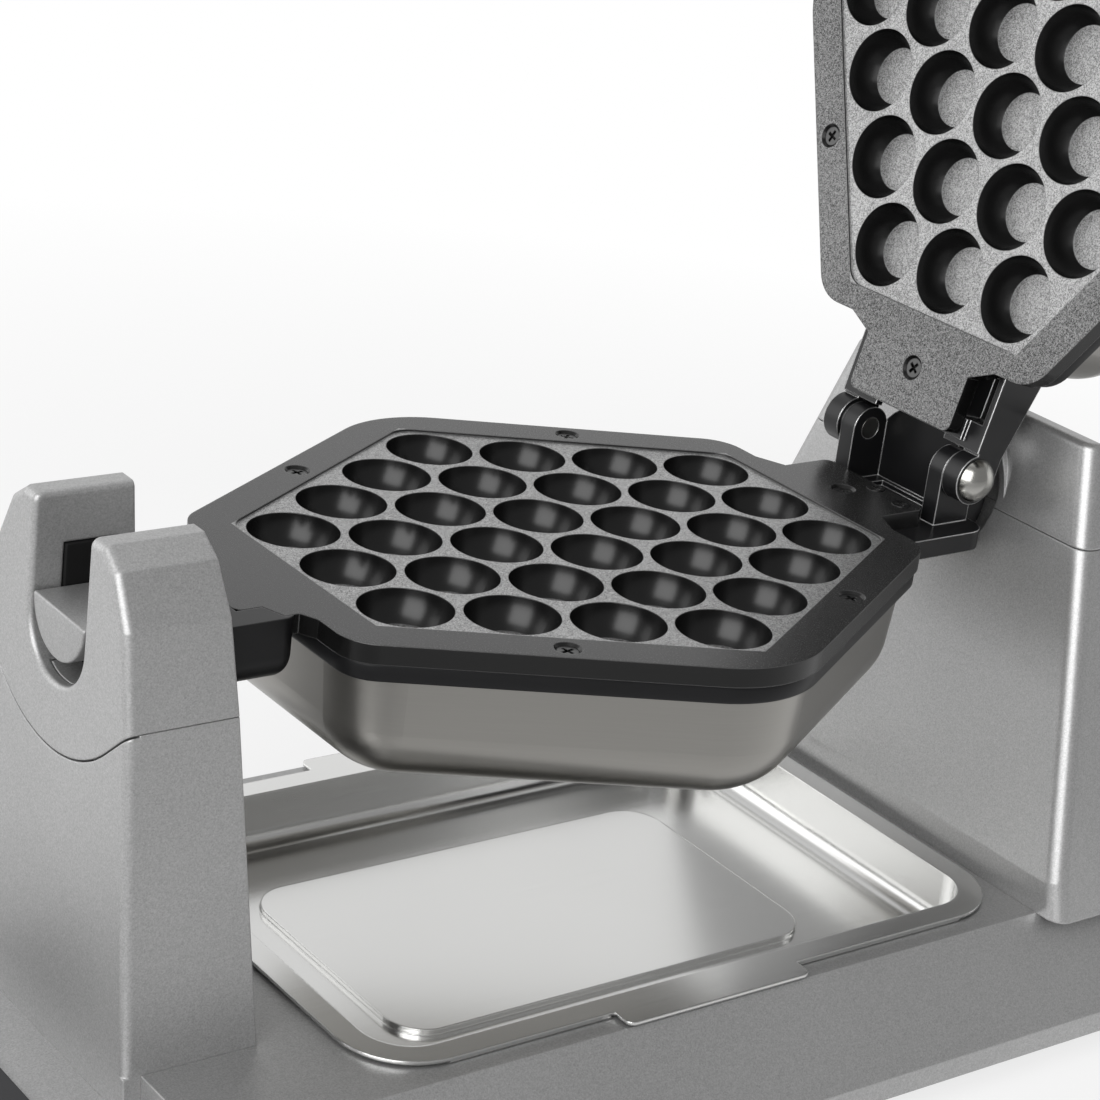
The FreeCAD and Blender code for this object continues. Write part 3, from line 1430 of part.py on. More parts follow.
def housing_cap():
    body = new_body("housing_cap")
    seam = "-housing_seam + seam_gap"
    housing_face(body, seam, "housing_top")
    lean_front(body, f"{seam} - overrun", "housing_top + overrun")
    fall = new_sketch(body, "XZ_Plane")
    polygon(fall, [
        ("housing_lean_top + housing_edge", "housing_top"), ("base_rear + overrun", "housing_top"),
        ("base_rear + overrun", f"{seam} - overrun"), ("roof_end", f"{seam} - overrun"),
        ("roof_end", "housing_top - roof_fall"),
    ])
    pocket(body, fall, "2 * housing_foot_half", middle=True)
    ease(body, "Fillet", lambda e: not along(e, 1) and not along(e, 0)
         and e.CenterOfMass.x < size("housing_lean_top"), "housing_edge")
    ease(body, "Fillet", lambda e: near(e.CenterOfMass.x, "housing_lean_top")
         and e.CenterOfMass.z > size("housing_top - 1"), "housing_crest")
    hollow = new_sketch(body, "XZ_Plane")
    polygon(hollow, [
        (f"{housing_lean(seam)} + housing_wall", "-housing_seam - overrun"),
        ("housing_lean_top + housing_wall", "housing_top - housing_wall"),
        ("roof_end - housing_wall", "housing_top - roof_fall - housing_wall"),
        ("roof_end - housing_wall", "-housing_seam - overrun"),
    ])
    pocket(body, hollow, "2 * (housing_top_half - housing_wall)", middle=True)
    recess_boss(body)
    below = new_sketch(body, "XY_Plane", out=seam)
    span = "housing_foot_half + overrun"
    rectangle(below, ("0", f"-({span})"), ("base_rear + overrun", span))
    pocket(body, below, "recess_radius * 2")
    trunnion_recess(body)
    body.Placement = at_axis()


def back_panel():
    body = new_body("back_panel")
    gap = "fit_gap"
    plate_sketch = new_sketch(body, "YZ_Plane", out="base_rear - housing_wall + fit_gap")
    rectangle(plate_sketch, (f"-panel_half + {gap}", f"-deck_drop + panel_low + {gap}"),
              (f"panel_half - {gap}", f"-deck_drop + panel_high - {gap}"))
    pad(body, plate_sketch, "panel_wall")
    slot = new_sketch(body, "YZ_Plane", up="-deck_drop + vent_low", out="base_rear - 2 * housing_wall")
    rectangle(slot, ("-vent_half", "0"), ("vent_half", "vent_width"))
    cut = pocket(body, slot, "4 * housing_wall", back=True)
    count = int(SIZES["vent_count"]) - 1
    repeat(body, cut, (slot, ["V_Axis"]), "vent_pitch * (vent_count - 2)", count)
    hole = new_sketch(body, "YZ_Plane", up="-deck_drop + inlet_low", out="base_rear - 2 * housing_wall")
    rectangle(hole, ("-inlet_half + inlet_wall / 2", "inlet_wall / 2"),
              ("inlet_half - inlet_wall / 2", "inlet_height - inlet_wall / 2"))
    pocket(body, hole, "4 * housing_wall", back=True)
    body.Placement = at_axis()


def power_inlet():
    body = new_body("power_inlet")
    panel_face = "(base_rear - housing_wall + fit_gap + panel_wall)"
    lip = new_sketch(body, "YZ_Plane", up="-deck_drop + inlet_low", out=panel_face)
    rectangle(lip, ("-inlet_half", "0"), ("inlet_half", "inlet_height"))
    pad(body, lip, f"base_rear - {panel_face}")
    reach = "inlet_wall / 2 + fit_gap"
    block = new_sketch(body, "YZ_Plane", up="-deck_drop + inlet_low", out="base_rear - inlet_depth")
    rectangle(block, (f"-inlet_half + {reach}", reach),
              (f"inlet_half - ({reach})", f"inlet_height - ({reach})"))
    pad(body, block, f"{panel_face} - base_rear + inlet_depth")
    cavity = new_sketch(body, "YZ_Plane", up="-deck_drop + inlet_low", out="base_rear + overrun")
    rectangle(cavity, ("-inlet_half + inlet_wall", "inlet_wall"),
              ("inlet_half - inlet_wall", "inlet_height - inlet_wall"))
    pocket(body, cavity, "inlet_cavity + overrun")
    for step, rise in ((-1, 0), (0, 1), (1, 0)):
        pin = new_sketch(body, "YZ_Plane", up=f"-deck_drop + inlet_low + inlet_height / 2",
                         out="base_rear - inlet_cavity")
        across = f"inlet_pin_pitch * {step}"
        height = f"inlet_pin_half * {rise} - inlet_pin_height / 2"
        rectangle(pin, (f"{across} - inlet_pin_half", height),
                  (f"{across} + inlet_pin_half", f"{height} + inlet_pin_height"))
        pad(body, pin, "inlet_pin_length")
    body.Placement = at_axis()


# Bearing of the shaft inside the housing

def shaft_bush():
    body = new_body("shaft_bush")
    bore = "shaft_radius + running_clearance"
    sleeve = circle(new_sketch(body, "YZ_Plane", out="bush_start"), "bush_radius")
    circle(sleeve, bore)
    pad(body, sleeve, "bush_end - bush_start")
    flange = circle(new_sketch(body, "YZ_Plane", out="bracket_start - bush_flange_width"),
                    "bush_flange")
    circle(flange, bore)
    pad(body, flange, "bush_flange_width")
    body.Placement = at_axis()


def bearing_bracket():
    body = new_body("bearing_bracket")
    upright = new_sketch(body, "YZ_Plane", out="bracket_start")
    rectangle(upright, ("-bracket_half", "-deck_drop"), ("bracket_half", "bracket_top"))
    pad(body, upright, "bracket_wall")
    ease(body, "Chamfer", lambda e: along(e, 0) and near(e.CenterOfMass.z, "bracket_top"),
         "bracket_half / 4")
    hole = circle(new_sketch(body, "YZ_Plane", out="bracket_start - overrun"), "bush_radius")
    pocket(body, hole, "bracket_wall + 2 * overrun", back=True)
    foot = new_sketch(body, "XY_Plane", out="-deck_drop")
    rectangle(foot, ("bracket_start", "-bracket_half"),
              ("bracket_start + bracket_foot", "bracket_half"))
    pad(body, foot, "bracket_wall")
    body.Placement = at_axis()


# Controls on the toe, drawn flat about the middle of the sloping panel

def fascia():
    body = new_body("control_fascia")
    rounded_box(body, ("-fascia_length / 2", "-fascia_half"), ("fascia_length / 2", "fascia_half"),
                "0", "fascia_wall", "fascia_corner")
    holes = new_sketch(body, "XY_Plane", out="-overrun")
    circle(holes, "knob_shaft + knob_clearance", "0", "knob_side")
    for sign in ("", "-"):
        circle(holes, "lamp_radius", "0", f"{sign}lamp_pitch / 2")
    pocket(body, holes, "fascia_wall + 2 * overrun", back=True)
    window = new_sketch(body, "XY_Plane", out="-overrun")
    half_long, half_wide = "rocker_length / 2 + rocker_gap", "rocker_width / 2 + rocker_gap"
    rectangle(window, (f"-({half_long} + switch_floor)", f"rocker_side - ({half_wide} + switch_floor)"),
              (f"{half_long} + switch_floor", f"rocker_side + {half_wide} + switch_floor"))
    pocket(body, window, "fascia_wall + 2 * overrun", back=True)
    body.Placement = on_toe()


def switch_body():
    """The rocker's frame and the cup under it."""
    body = new_body("switch_body")
    long_in, wide_in = "(rocker_length / 2 + rocker_gap)", "(rocker_width / 2 + rocker_gap)"
    frame = new_sketch(body, "XY_Plane", up="rocker_side", out="fascia_wall")
    reach = "switch_floor + bezel_frame"
    rectangle(frame, (f"-({long_in} + {reach})", f"-({wide_in} + {reach})"),
              (f"{long_in} + {reach}", f"{wide_in} + {reach}"))
    pad(body, frame, "bezel_height")
    cup = new_sketch(body, "XY_Plane", up="rocker_side", out="fascia_wall")
    wall = "switch_floor - running_clearance"
    rectangle(cup, (f"-({long_in} + {wall})", f"-({wide_in} + {wall})"),
              (f"{long_in} + {wall}", f"{wide_in} + {wall}"))
    pad(body, cup, "switch_depth", back=True)
    hollow = new_sketch(body, "XY_Plane", up="rocker_side", out="fascia_wall + bezel_height + overrun")
    rectangle(hollow, (f"-{long_in}", f"-{wide_in}"), (long_in, wide_in))
    pocket(body, hollow, "bezel_height + switch_depth - switch_floor + overrun")
    body.Placement = on_toe()


def power_rocker():
    """The rocker rests tipped to its off side, and turns about a pin across its middle."""
    body = new_body("power_rocker")
    paddle = new_sketch(body, "XZ_Plane", out="-(rocker_side)")
    half = "rocker_length / 2"
    polygon(paddle, [
        (f"-{half} + rocker_gap", "-rocker_depth / 2"), (f"{half} - rocker_gap", "-rocker_depth / 2"),
        (half, "rocker_depth / 2 + rocker_rise"), ("0", "rocker_depth / 2"),
        (f"-{half}", "rocker_depth / 2 + rocker_rise"),
    ])
    pad(body, paddle, "rocker_width", middle=True)
    pivot = FreeCAD.Placement(
        FreeCAD.Vector(0, 0, size("fascia_wall")),
        FreeCAD.Rotation(FreeCAD.Vector(0, 1, 0), size("rocker_tilt")),
    )
    body.Placement = on_toe().multiply(pivot)


def indicator_lamps():
    shapes = []
    for sign in (1, -1):
        place = FreeCAD.Vector(0, sign * size("lamp_pitch / 2"), size("fascia_wall - lamp_depth"))
        stem = Part.makeCylinder(size("lamp_radius"), size("lamp_depth"), place)
        lens_place = place + FreeCAD.Vector(0, 0, size("lamp_depth"))
        lens = Part.makeCone(
            size("lamp_radius + lamp_height"), size("lamp_radius"), size("lamp_height"), lens_place
        )
        shapes.append(stem.fuse(lens).removeSplitter())
    group = doc.addObject("Part::Feature", "Group")
    group.Shape = Part.makeCompound(shapes)
    group.Label = "indicator_lamps"
    made.append(group)
    group.Placement = on_toe()


def control_knob():
    """A fluted knob with a skirt, on its shaft through the fascia."""
    body = new_body("control_knob")
    base = "fascia_wall + knob_clearance"
    skirt = circle(new_sketch(body, "XY_Plane", out=base), "knob_skirt", "0", "knob_side")
    pad(body, skirt, "knob_skirt_height")
    grip = circle(new_sketch(body, "XY_Plane", out=base), "knob_radius", "0", "knob_side")
    pad(body, grip, "knob_height")
    ease(body, "Chamfer", lambda e: level_at(e, f"{base} + knob_height"), "knob_flute / 2")
    flute = new_sketch(body, "XY_Plane", up="knob_side", out=f"{base} + knob_skirt_height")
    circle(flute, "knob_flute", "knob_radius + knob_flute / 2")
    cut = pocket(body, flute, "knob_height", back=True)
    ring = body.newObject("PartDesign::PolarPattern", "Ring")
    ring.Originals = [cut]
    ring.Axis = (flute, ["N_Axis"])
    ring.Angle = 360
    ring.Occurrences = int(SIZES["knob_flutes"])
    body.Tip = ring
    check(ring)
    stem = circle(new_sketch(body, "XY_Plane", out=base), "knob_shaft", "0", "knob_side")
    pad(body, stem, "knob_shaft_length + fascia_wall + knob_clearance", back=True)
    body.Placement = on_toe()


def knob_pointer():
    body = new_body("knob_pointer")
    top = "fascia_wall + knob_clearance + knob_height"
    line = new_sketch(body, "XY_Plane", out=top)
    rectangle(line, ("0", "knob_side - pointer_width / 2"),
              ("knob_radius - knob_flute", "knob_side + pointer_width / 2"))
    pad(body, line, "pointer_height")
    body.Placement = on_toe()


def control_board():
    """The board behind the lamps and the switch, on four pillars under the fascia."""
    body = new_body("control_board")
    board = new_sketch(body, "XY_Plane", out="-board_drop")
    rectangle(board, ("-board_length / 2", "-board_half"), ("board_length / 2", "board_half"))
    pad(body, board, "board_wall", back=True)
    pillars = new_sketch(body, "XY_Plane")
    for front in ("", "-"):
        for sign in ("", "-"):
            circle(pillars, "board_pillar", f"{front}(board_length / 2 - 2 * board_pillar)",
                   f"{sign}(board_half / 4)")
    pad(body, pillars, "board_drop", back=True)
    body.Placement = on_toe()


for half_name in HALVES:
    plate(half_name)
    plate_screws(half_name)
    bezel(half_name)
    shell(half_name)
    element(half_name)
    element_clamp(half_name)
    thermostat(half_name)
    lug(half_name)
    trunnion(half_name)

for make in (
    yoke, shaft, collar, hinge_pins, hinge_washers, hinge_arms, handle_stem, handle_grip,
    front_post, post_cap, post_bearing, base_casing, base_floor, feet, foot_screws,
    drip_tray, tray_well, rear_housing, housing_cap, back_panel, power_inlet,
    shaft_bush, bearing_bracket, fascia, switch_body, power_rocker, indicator_lamps,
    control_knob, knob_pointer, control_board,
):
    make()

doc.recompute()

for thing in doc.Objects:
    if "Invalid" in thing.State or "Error" in thing.State:
        raise RuntimeError(f"{thing.Name} did not rebuild")
os.makedirs("parts", exist_ok=True)
for thing in made:
    if thing.Shape.isNull() or not thing.Shape.isValid():
        raise RuntimeError(f"{thing.Label} is not a valid solid")
    thing.Shape.exportStep(f"parts/{thing.Label}.step")
print(f"{len(made)} pieces")
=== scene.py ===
"""Dresses a rotary egg waffle baker: finishes for its castings, casings and sheet steel,
cross-head screws, marks round a fluted thermostat knob, other small pieces and a plain studio."""

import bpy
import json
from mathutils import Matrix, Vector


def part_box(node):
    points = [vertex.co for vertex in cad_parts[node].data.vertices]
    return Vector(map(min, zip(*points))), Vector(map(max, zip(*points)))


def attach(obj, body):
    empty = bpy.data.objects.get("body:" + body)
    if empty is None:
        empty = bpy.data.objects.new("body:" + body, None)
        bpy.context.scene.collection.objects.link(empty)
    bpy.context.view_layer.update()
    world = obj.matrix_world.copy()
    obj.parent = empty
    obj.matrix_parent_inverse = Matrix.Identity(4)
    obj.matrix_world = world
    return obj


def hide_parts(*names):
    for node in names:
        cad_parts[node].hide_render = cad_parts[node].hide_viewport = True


bl_info = {
    "name": "Egg Waffle Baker",
    "version": (1, 0, 0),
    "blender": (4, 5, 0),
    "location": "View3D > Sidebar > Waffle Baker",
    "description": "Dresses a rotary egg waffle baker and lights it in a plain studio",
    "category": "Object",
}

import json
import math
from types import SimpleNamespace

import bmesh
import bpy
from mathutils import Matrix, Vector

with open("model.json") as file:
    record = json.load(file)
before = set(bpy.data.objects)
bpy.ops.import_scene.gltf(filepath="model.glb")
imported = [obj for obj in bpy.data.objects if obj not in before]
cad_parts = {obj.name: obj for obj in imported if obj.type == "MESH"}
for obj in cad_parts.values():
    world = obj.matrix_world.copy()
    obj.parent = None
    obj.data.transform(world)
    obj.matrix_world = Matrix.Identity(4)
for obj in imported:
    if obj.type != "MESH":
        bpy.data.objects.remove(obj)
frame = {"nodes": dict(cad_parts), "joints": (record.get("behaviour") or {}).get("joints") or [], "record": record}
NODES = frame["nodes"]
JOINTS = {joint["name"]: joint for joint in frame["joints"]}
SLOTS = {part["node"]: part["material_slot"] for part in frame["record"]["subparts"]}
EDGE_SAMPLES = 6
EDGE_TURN = 0.06
EDGE_SOFTNESS = 0.10


# Sizes and colours

class BakerSizes(bpy.types.PropertyGroup):
    """Sizes of the pieces that are made here."""

    rim_screw: bpy.props.FloatProperty(
        name="Rim screw", description="Radius of a plate screw's head",
        default=0.0036, unit="LENGTH")
    cross_width: bpy.props.FloatProperty(
        name="Cross width", description="Width of a screw's cross slot",
        default=0.0011, unit="LENGTH")
    dial_reach: bpy.props.FloatProperty(
        name="Dial reach", description="Distance of the dial's marks from the knob's axis",
        default=0.0195, unit="LENGTH")
    cross_depth: bpy.props.FloatProperty(
        name="Cross depth", description="Depth of a screw's cross slot",
        default=0.0016, unit="LENGTH")
    stem_room: bpy.props.FloatProperty(
        name="Stem room", description="Gap between the lower trunnion and the handle's stem",
        default=0.00015, unit="LENGTH")
    edge: bpy.props.FloatProperty(
        name="Edge", description="Radius of the soft edges of castings and casings",
        default=0.0009, unit="LENGTH")
    field_flat: bpy.props.FloatProperty(
        name="Field flat", description="Half the length of the field of cups",
        default=0.103, unit="LENGTH")
    field_side: bpy.props.FloatProperty(
        name="Field side", description="Distance of the field's slanting sides from its middle",
        default=0.08877, unit="LENGTH")
    lens: bpy.props.FloatProperty(
        name="Lens", description="Focal length of the camera on a 36 mm sensor",
        default=94.97)


class BakerColours(bpy.types.PropertyGroup):
    """Colours of the finishes."""

    silver: bpy.props.FloatVectorProperty(
        name="Silver", description="Metallic lacquer of the post, base and housing",
        subtype="COLOR", size=3, default=(0.43, 0.43, 0.43))
    casing: bpy.props.FloatVectorProperty(
        name="Pan casing", description="Satin steel of the two pan casings",
        subtype="COLOR", size=3, default=(0.36, 0.35, 0.33))
    tray: bpy.props.FloatVectorProperty(
        name="Tray", description="Bright steel of the drip tray",
        subtype="COLOR", size=3, default=(0.74, 0.74, 0.73))
    black: bpy.props.FloatVectorProperty(
        name="Black", description="Black satin enamel of the castings",
        subtype="COLOR", size=3, default=(0.006, 0.006, 0.0065))
    plate: bpy.props.FloatVectorProperty(
        name="Plate", description="Speckled coating inside the field of cups",
        subtype="COLOR", size=3, default=(0.34, 0.34, 0.34))


def sizes():
    return bpy.context.scene.baker_sizes


def colours():
    return bpy.context.scene.baker_colours


# Shader maths as Python expressions

class Term:
    """A shader socket that can be added, subtracted, multiplied and divided."""

    def __init__(self, finish, socket):
        self.finish = finish
        self.socket = socket

    def _math(self, operation, *values):
        return self.finish.node("ShaderNodeMath", {"operation": operation}, values)

    def __add__(self, other):
        return self._math("ADD", self, other)

    __radd__ = __add__

    def __mul__(self, other):
        return self._math("MULTIPLY", self, other)

    __rmul__ = __mul__

    def __sub__(self, other):
        return self._math("SUBTRACT", self, other)

    def __rsub__(self, other):
        return self._math("SUBTRACT", other, self)

    def __truediv__(self, other):
        return self._math("DIVIDE", self, other)

    def __pow__(self, other):
        return self._math("POWER", self, other)

    def __abs__(self):
        return self._math("ABSOLUTE", self)

    def larger(self, other):
        return self._math("MAXIMUM", self, other)

    def clamped(self):
        return self.finish.node(
            "ShaderNodeMath", {"operation": "ADD", "use_clamp": True}, (self, 0.0))

    def above(self, level, softness):
        """0 well under a level and 1 well over it."""
        return ((self - level) / softness + 0.5).clamped()


class Shading:
    """A tree of shader nodes that are made one call each."""

    def __init__(self, tree):
        self.tree = tree

    def node(self, kind, settings, inputs, output=0):
        """A node with its settings made first, then its inputs as values or links."""
        made = self.tree.nodes.new(kind)
        for key, value in settings.items():
            if key == "stops":
                for stop, (position, colour) in zip(self._stops(made, len(value)), value):
                    stop.position = position
                    stop.color = colour
            else:
                setattr(made, key, value)
        pairs = inputs.items() if isinstance(inputs, dict) else enumerate(inputs)
        for key, value in pairs:
            self.feed(made.inputs[key], value)
        return Term(self, made.outputs[output])

    @staticmethod
    def _stops(ramp, count):
        while len(ramp.color_ramp.elements) < count:
            ramp.color_ramp.elements.new(1.0)
        return ramp.color_ramp.elements

    def feed(self, socket, value):
        if isinstance(value, Term):
            self.tree.links.new(value.socket, socket)
        elif isinstance(value, bpy.types.NodeSocket):
            self.tree.links.new(value, socket)
        elif hasattr(value, "__len__") and len(value) == 3 and len(socket.default_value) == 4:
            socket.default_value = (*value, 1.0)
        else:
            socket.default_value = value

    def blend(self, share, first, second):
        """A colour between two others."""
        mix = self.tree.nodes.new("ShaderNodeMix")
        mix.data_type = "RGBA"
        for socket, value in zip((mix.inputs[0], mix.inputs[6], mix.inputs[7]),
                                 (share, first, second)):
            self.feed(socket, value)
        return Term(self, mix.outputs[2])

    def rays(self):
        """Whether a ray is the camera's, is mirrored or has passed through something."""
        return [self.node("ShaderNodeLightPath", {}, (), f"Is {kind} Ray")
                for kind in ("Camera", "Glossy", "Transmission")]


class Finish(Shading):
    """A material that is built from node calls."""

    def __init__(self, name):
        self.material = bpy.data.materials.new(name + "_finish")
        self.material.use_nodes = True
        super().__init__(self.material.node_tree)
        self.shader = self.tree.nodes["Principled BSDF"]
        self.place = self.node("ShaderNodeTexCoord", {}, (), "Object")

    def set(self, **values):
        """Sets the shader's own sockets, named with underscores for spaces."""
        for key, value in values.items():
            self.feed(self.shader.inputs[key.replace("_", " ")], value)
        return self.material

    def noise(self, scale, detail=2.0, stretch=None, roughness=0.5):
        place = self.place
        if stretch is not None:
            place = self.node("ShaderNodeMapping", {}, {"Vector": place, "Scale": stretch})
        return self.node(
            "ShaderNodeTexNoise", {},
            {"Vector": place, "Scale": scale, "Detail": detail, "Roughness": roughness})

    def flecks(self, scale):
        """A value that differs from one small cell to the next."""
        return self.node(
            "ShaderNodeTexVoronoi", {}, {"Vector": self.place, "Scale": scale}, "Color")

    def soft_edges(self, radius):
        """The surface's normal with its edges rounded off."""
        return self.node("ShaderNodeBevel", {"samples": EDGE_SAMPLES}, {"Radius": radius})

    def edge_share(self, radius):
        """How strongly a place lies on an edge, from 0 on a flat to 1 on a corner."""
        soft = self.soft_edges(radius)
        true = self.node("ShaderNodeNewGeometry", {}, (), "Normal")
        facing = self.node("ShaderNodeVectorMath", {"operation": "DOT_PRODUCT"},
                           (soft, true), "Value")
        return (1.0 - facing).above(EDGE_TURN, EDGE_SOFTNESS)

    def bumped(self, height, distance, strength=1.0, normal=None):
        inputs = {"Height": height, "Distance": distance, "Strength": strength}
        if normal is not None:
            inputs["Normal"] = normal
        return self.node("ShaderNodeBump", {}, inputs)


def shade_of(colour, factor):
    """A colour made lighter or darker by a factor."""
    return tuple(min(part * factor, 1.0) for part in colour)


# Finishes. A look holds its noise scales in cells per metre, the shares by which they
# change the tone and the roughness, its darkest and lightest shade, and its grain's depth.

SILVER = SimpleNamespace(
    grain_scale=2100.0, fleck_scale=2000.0, cloud_scale=9.0,
    grain_share=1.3, fleck_share=0.35, cloud_share=0.5, dark=0.76, light=1.24,
    edge_share=0.35, painted_edge_highlight=1.5, metallic=0.75, rough_spread=0.14,
    depth=0.00004, strength=0.5)
BLACK = SimpleNamespace(
    grain_scale=1800.0, cloud_scale=30.0, dark=0.8, light=1.7, edge_width=0.8,
    rough=0.26, cloud_spread=0.10, grain_spread=0.05, depth=0.00001, strength=0.5)
PLATE = SimpleNamespace(
    grain_scale=2500.0, fleck_scale=1500.0, cloud_scale=14.0,
    grain_share=3.0, fleck_share=0.5, cloud_share=0.5, dark=0.45, light=1.6,
    line_width=0.0004, level_cosine=0.90, level_softness=0.10, painted_wall_shade=(0.004, 0.004, 0.004),
    edge_width=0.6, edge_share=0.8, edge_metal=0.6, painted_rim_shade=(0.16, 0.16, 0.16),
    field_metal=0.75, specular=0.3, rough=0.26, level_spread=0.12, grain_spread=0.10,
    depth=0.00006, strength=0.5)
CASING = SimpleNamespace(
    brush_scale=70.0, stretch=(0.5, 0.5, 30.0), cloud_scale=8.0, brush_share=0.5,
    cloud_share=0.5, dark=0.92, light=1.08, rough=0.27, rough_spread=0.05,
    depth=0.00001, strength=0.2)
TRAY = SimpleNamespace(
    brush_scale=60.0, stretch=(0.6, 34.0, 34.0), cloud_scale=7.0, brush_share=0.4,
    cloud_share=0.6, dark=0.90, light=1.08, rough=0.16, rough_spread=0.10,
    depth=0.00002, strength=0.3)
METAL = SimpleNamespace(
    cloud_scale=60.0, dark=0.85, light=1.12, rough_spread=0.10, edge_width=0.5,
    depth=0.00001, strength=0.3)
PLASTIC = SimpleNamespace(
    cloud_scale=40.0, dark=0.85, light=1.2, rough_spread=0.08, edge_width=0.6, strength=0.5)
LENS = SimpleNamespace(
    red=(0.55, 0.03, 0.02), green=(0.04, 0.40, 0.08), line_width=0.001,
    ripple_scale=900.0, rough=0.18, rough_spread=0.06)
# Grey of the black enamel's edges: partly paint rubbed off, partly a painted highlight.
WORN_AND_HIGHLIGHT_GREY = (0.20, 0.20, 0.20)
# The flange's darkest and lightest tone. The upper plate's coating is the same as the lower's; its paler flange is
# painted light.
LOWER_FLANGE = (0.003, 0.020)
LIT_UPPER_FLANGE = (0.035, 0.30)
SIDE_SLOPE = math.radians(30.0)


def mottled(finish, look):
    """A share that varies with a look's grain, flecks and clouds, and the grain itself."""
    grain = finish.noise(look.grain_scale)
    cloud = finish.noise(look.cloud_scale)
    fleck = finish.node("ShaderNodeSeparateColor", {}, (finish.flecks(look.fleck_scale),))
    share = 0.5 + (grain - 0.5) * look.grain_share + (fleck - 0.5) * look.fleck_share
    return (share + (cloud - 0.5) * look.cloud_share).clamped(), grain


def silver_finish(name="silver_case", tone_share=1.0, rough=0.38):
    """Metallic lacquer with a fine grain over cast and pressed panels."""
    finish, look = Finish(name), SILVER
    base = shade_of(colours().silver, tone_share)
    tone, grain = mottled(finish, look)
    colour = finish.blend(tone, shade_of(base, look.dark), shade_of(base, look.light))
    # Soft edges painted lighter: a painted highlight along them.
    edges = finish.edge_share(sizes().edge) * look.edge_share
    colour = finish.blend(edges, colour, shade_of(base, look.painted_edge_highlight))
    soft = finish.soft_edges(sizes().edge)
    return finish.set(
        Base_Color=colour, Metallic=look.metallic, Roughness=rough + grain * look.rough_spread,
        Normal=finish.bumped(grain, look.depth, look.strength, soft))


def black_finish(name="black_trim", edge_wear_and_highlight_share=0.12, worn_and_highlight_colour=WORN_AND_HIGHLIGHT_GREY, gloss=0.24):
    """Black satin enamel, lighter along its edges: partly paint rubbed off there, partly a painted highlight."""
    finish, look = Finish(name), BLACK
    base = tuple(colours().black)
    grain = finish.noise(look.grain_scale)
    cloud = finish.noise(look.cloud_scale, 3.0)
    width = sizes().edge * look.edge_width
    # Edges lighter and metallic: partly paint rubbed off, partly a painted highlight.
    bare_and_highlit = (finish.edge_share(width) * edge_wear_and_highlight_share).clamped()
    colour = finish.blend(cloud, shade_of(base, look.dark), shade_of(base, look.light))
    return finish.set(
        Base_Color=finish.blend(bare_and_highlit, colour, worn_and_highlight_colour), Specular_IOR_Level=gloss, Metallic=bare_and_highlit,
        Roughness=look.rough + cloud * look.cloud_spread + grain * look.grain_spread,
        Normal=finish.bumped(grain, look.depth, look.strength, finish.soft_edges(width)))


def plate_finish(name="cast_plate", open_angle=0.0, flange=LOWER_FLANGE, bright=0.0,
                 sheen=0.17):
    """A cast plate's coating: speckled and pale over the field of cups and on the cups' floors, glossy
    down their walls with painted shade near black, and dark satin on the flange outside the field."""
    finish, look = Finish(name), PLATE
    pivot = Vector(JOINTS["lid_hinge"]["pos_m"])
    back = Matrix.Rotation(-open_angle, 3, "Y")
    flat = finish.node(
        "ShaderNodeMapping", {},
        {"Vector": finish.place, "Location": tuple(pivot - back @ pivot),
         "Rotation": (0.0, -open_angle, 0.0)})
    along = abs(finish.node("ShaderNodeSeparateXYZ", {}, (flat,), "X"))
    across = abs(finish.node("ShaderNodeSeparateXYZ", {}, (flat,), "Y"))
    side = along * math.sin(SIDE_SLOPE) + across * math.cos(SIDE_SLOPE) - sizes().field_side
    outside = (along - sizes().field_flat).larger(side).above(0.0, look.line_width)
    inside = 1.0 - outside

    upward = back.transposed() @ Vector((0.0, 0.0, 1.0 if open_angle == 0.0 else -1.0))
    turned = finish.node("ShaderNodeTexCoord", {}, (), "Normal")
    level = finish.node("ShaderNodeVectorMath", {"operation": "DOT_PRODUCT"},
                        (turned, tuple(upward)), "Value")
    level = level.above(look.level_cosine, look.level_softness)

    base = tuple(colours().plate)
    speckle, grain = mottled(finish, look)
    pale = finish.blend(speckle, shade_of(base, look.dark), shade_of(base, look.light))
    dim = finish.blend(speckle, (flange[0],) * 3, (flange[1],) * 3)
    # The cups' walls, turned away from the plate's face, are painted near black: painted shade by the way a face
    # turns.
    colour = finish.blend(level, look.painted_wall_shade, finish.blend(inside, dim, pale))
    width = sizes().edge * look.edge_width
    edges = finish.edge_share(width)
    # Rims and other edges painted a darker metallic grey: painted shade outlining the cups' rims.
    colour = finish.blend((edges * look.edge_share).clamped(), colour, look.painted_rim_shade)
    metal = level * (inside * look.field_metal).larger(bright) + edges * look.edge_metal
    rough = look.rough + level * (look.level_spread + grain * look.grain_spread)
    return finish.set(
        Base_Color=colour, Metallic=metal.clamped(), Specular_IOR_Level=look.specular + sheen,
        Roughness=rough - level * (1.0 - inside) * sheen,
        Normal=finish.bumped(grain * level, look.depth, look.strength,
                             finish.soft_edges(width)))


def brushed_finish(name, colour, look, detail, edge=None):
    """Sheet steel with fine lines in one direction."""
    finish = Finish(name)
    base = tuple(colour)
    brushing = finish.noise(look.brush_scale, detail, look.stretch)
    cloud = finish.noise(look.cloud_scale)
    tone = (brushing * look.brush_share + cloud * look.cloud_share).clamped()
    soft = None if edge is None else finish.soft_edges(edge)
    return finish.set(
        Base_Color=finish.blend(tone, shade_of(base, look.dark), shade_of(base, look.light)),
        Metallic=1.0, Roughness=look.rough + brushing * look.rough_spread,
        Normal=finish.bumped(brushing, look.depth, look.strength, soft))


def casing_finish():
    """Satin steel of the drawn pan casings."""
    return brushed_finish("pan_steel", colours().casing, CASING, 3.0)


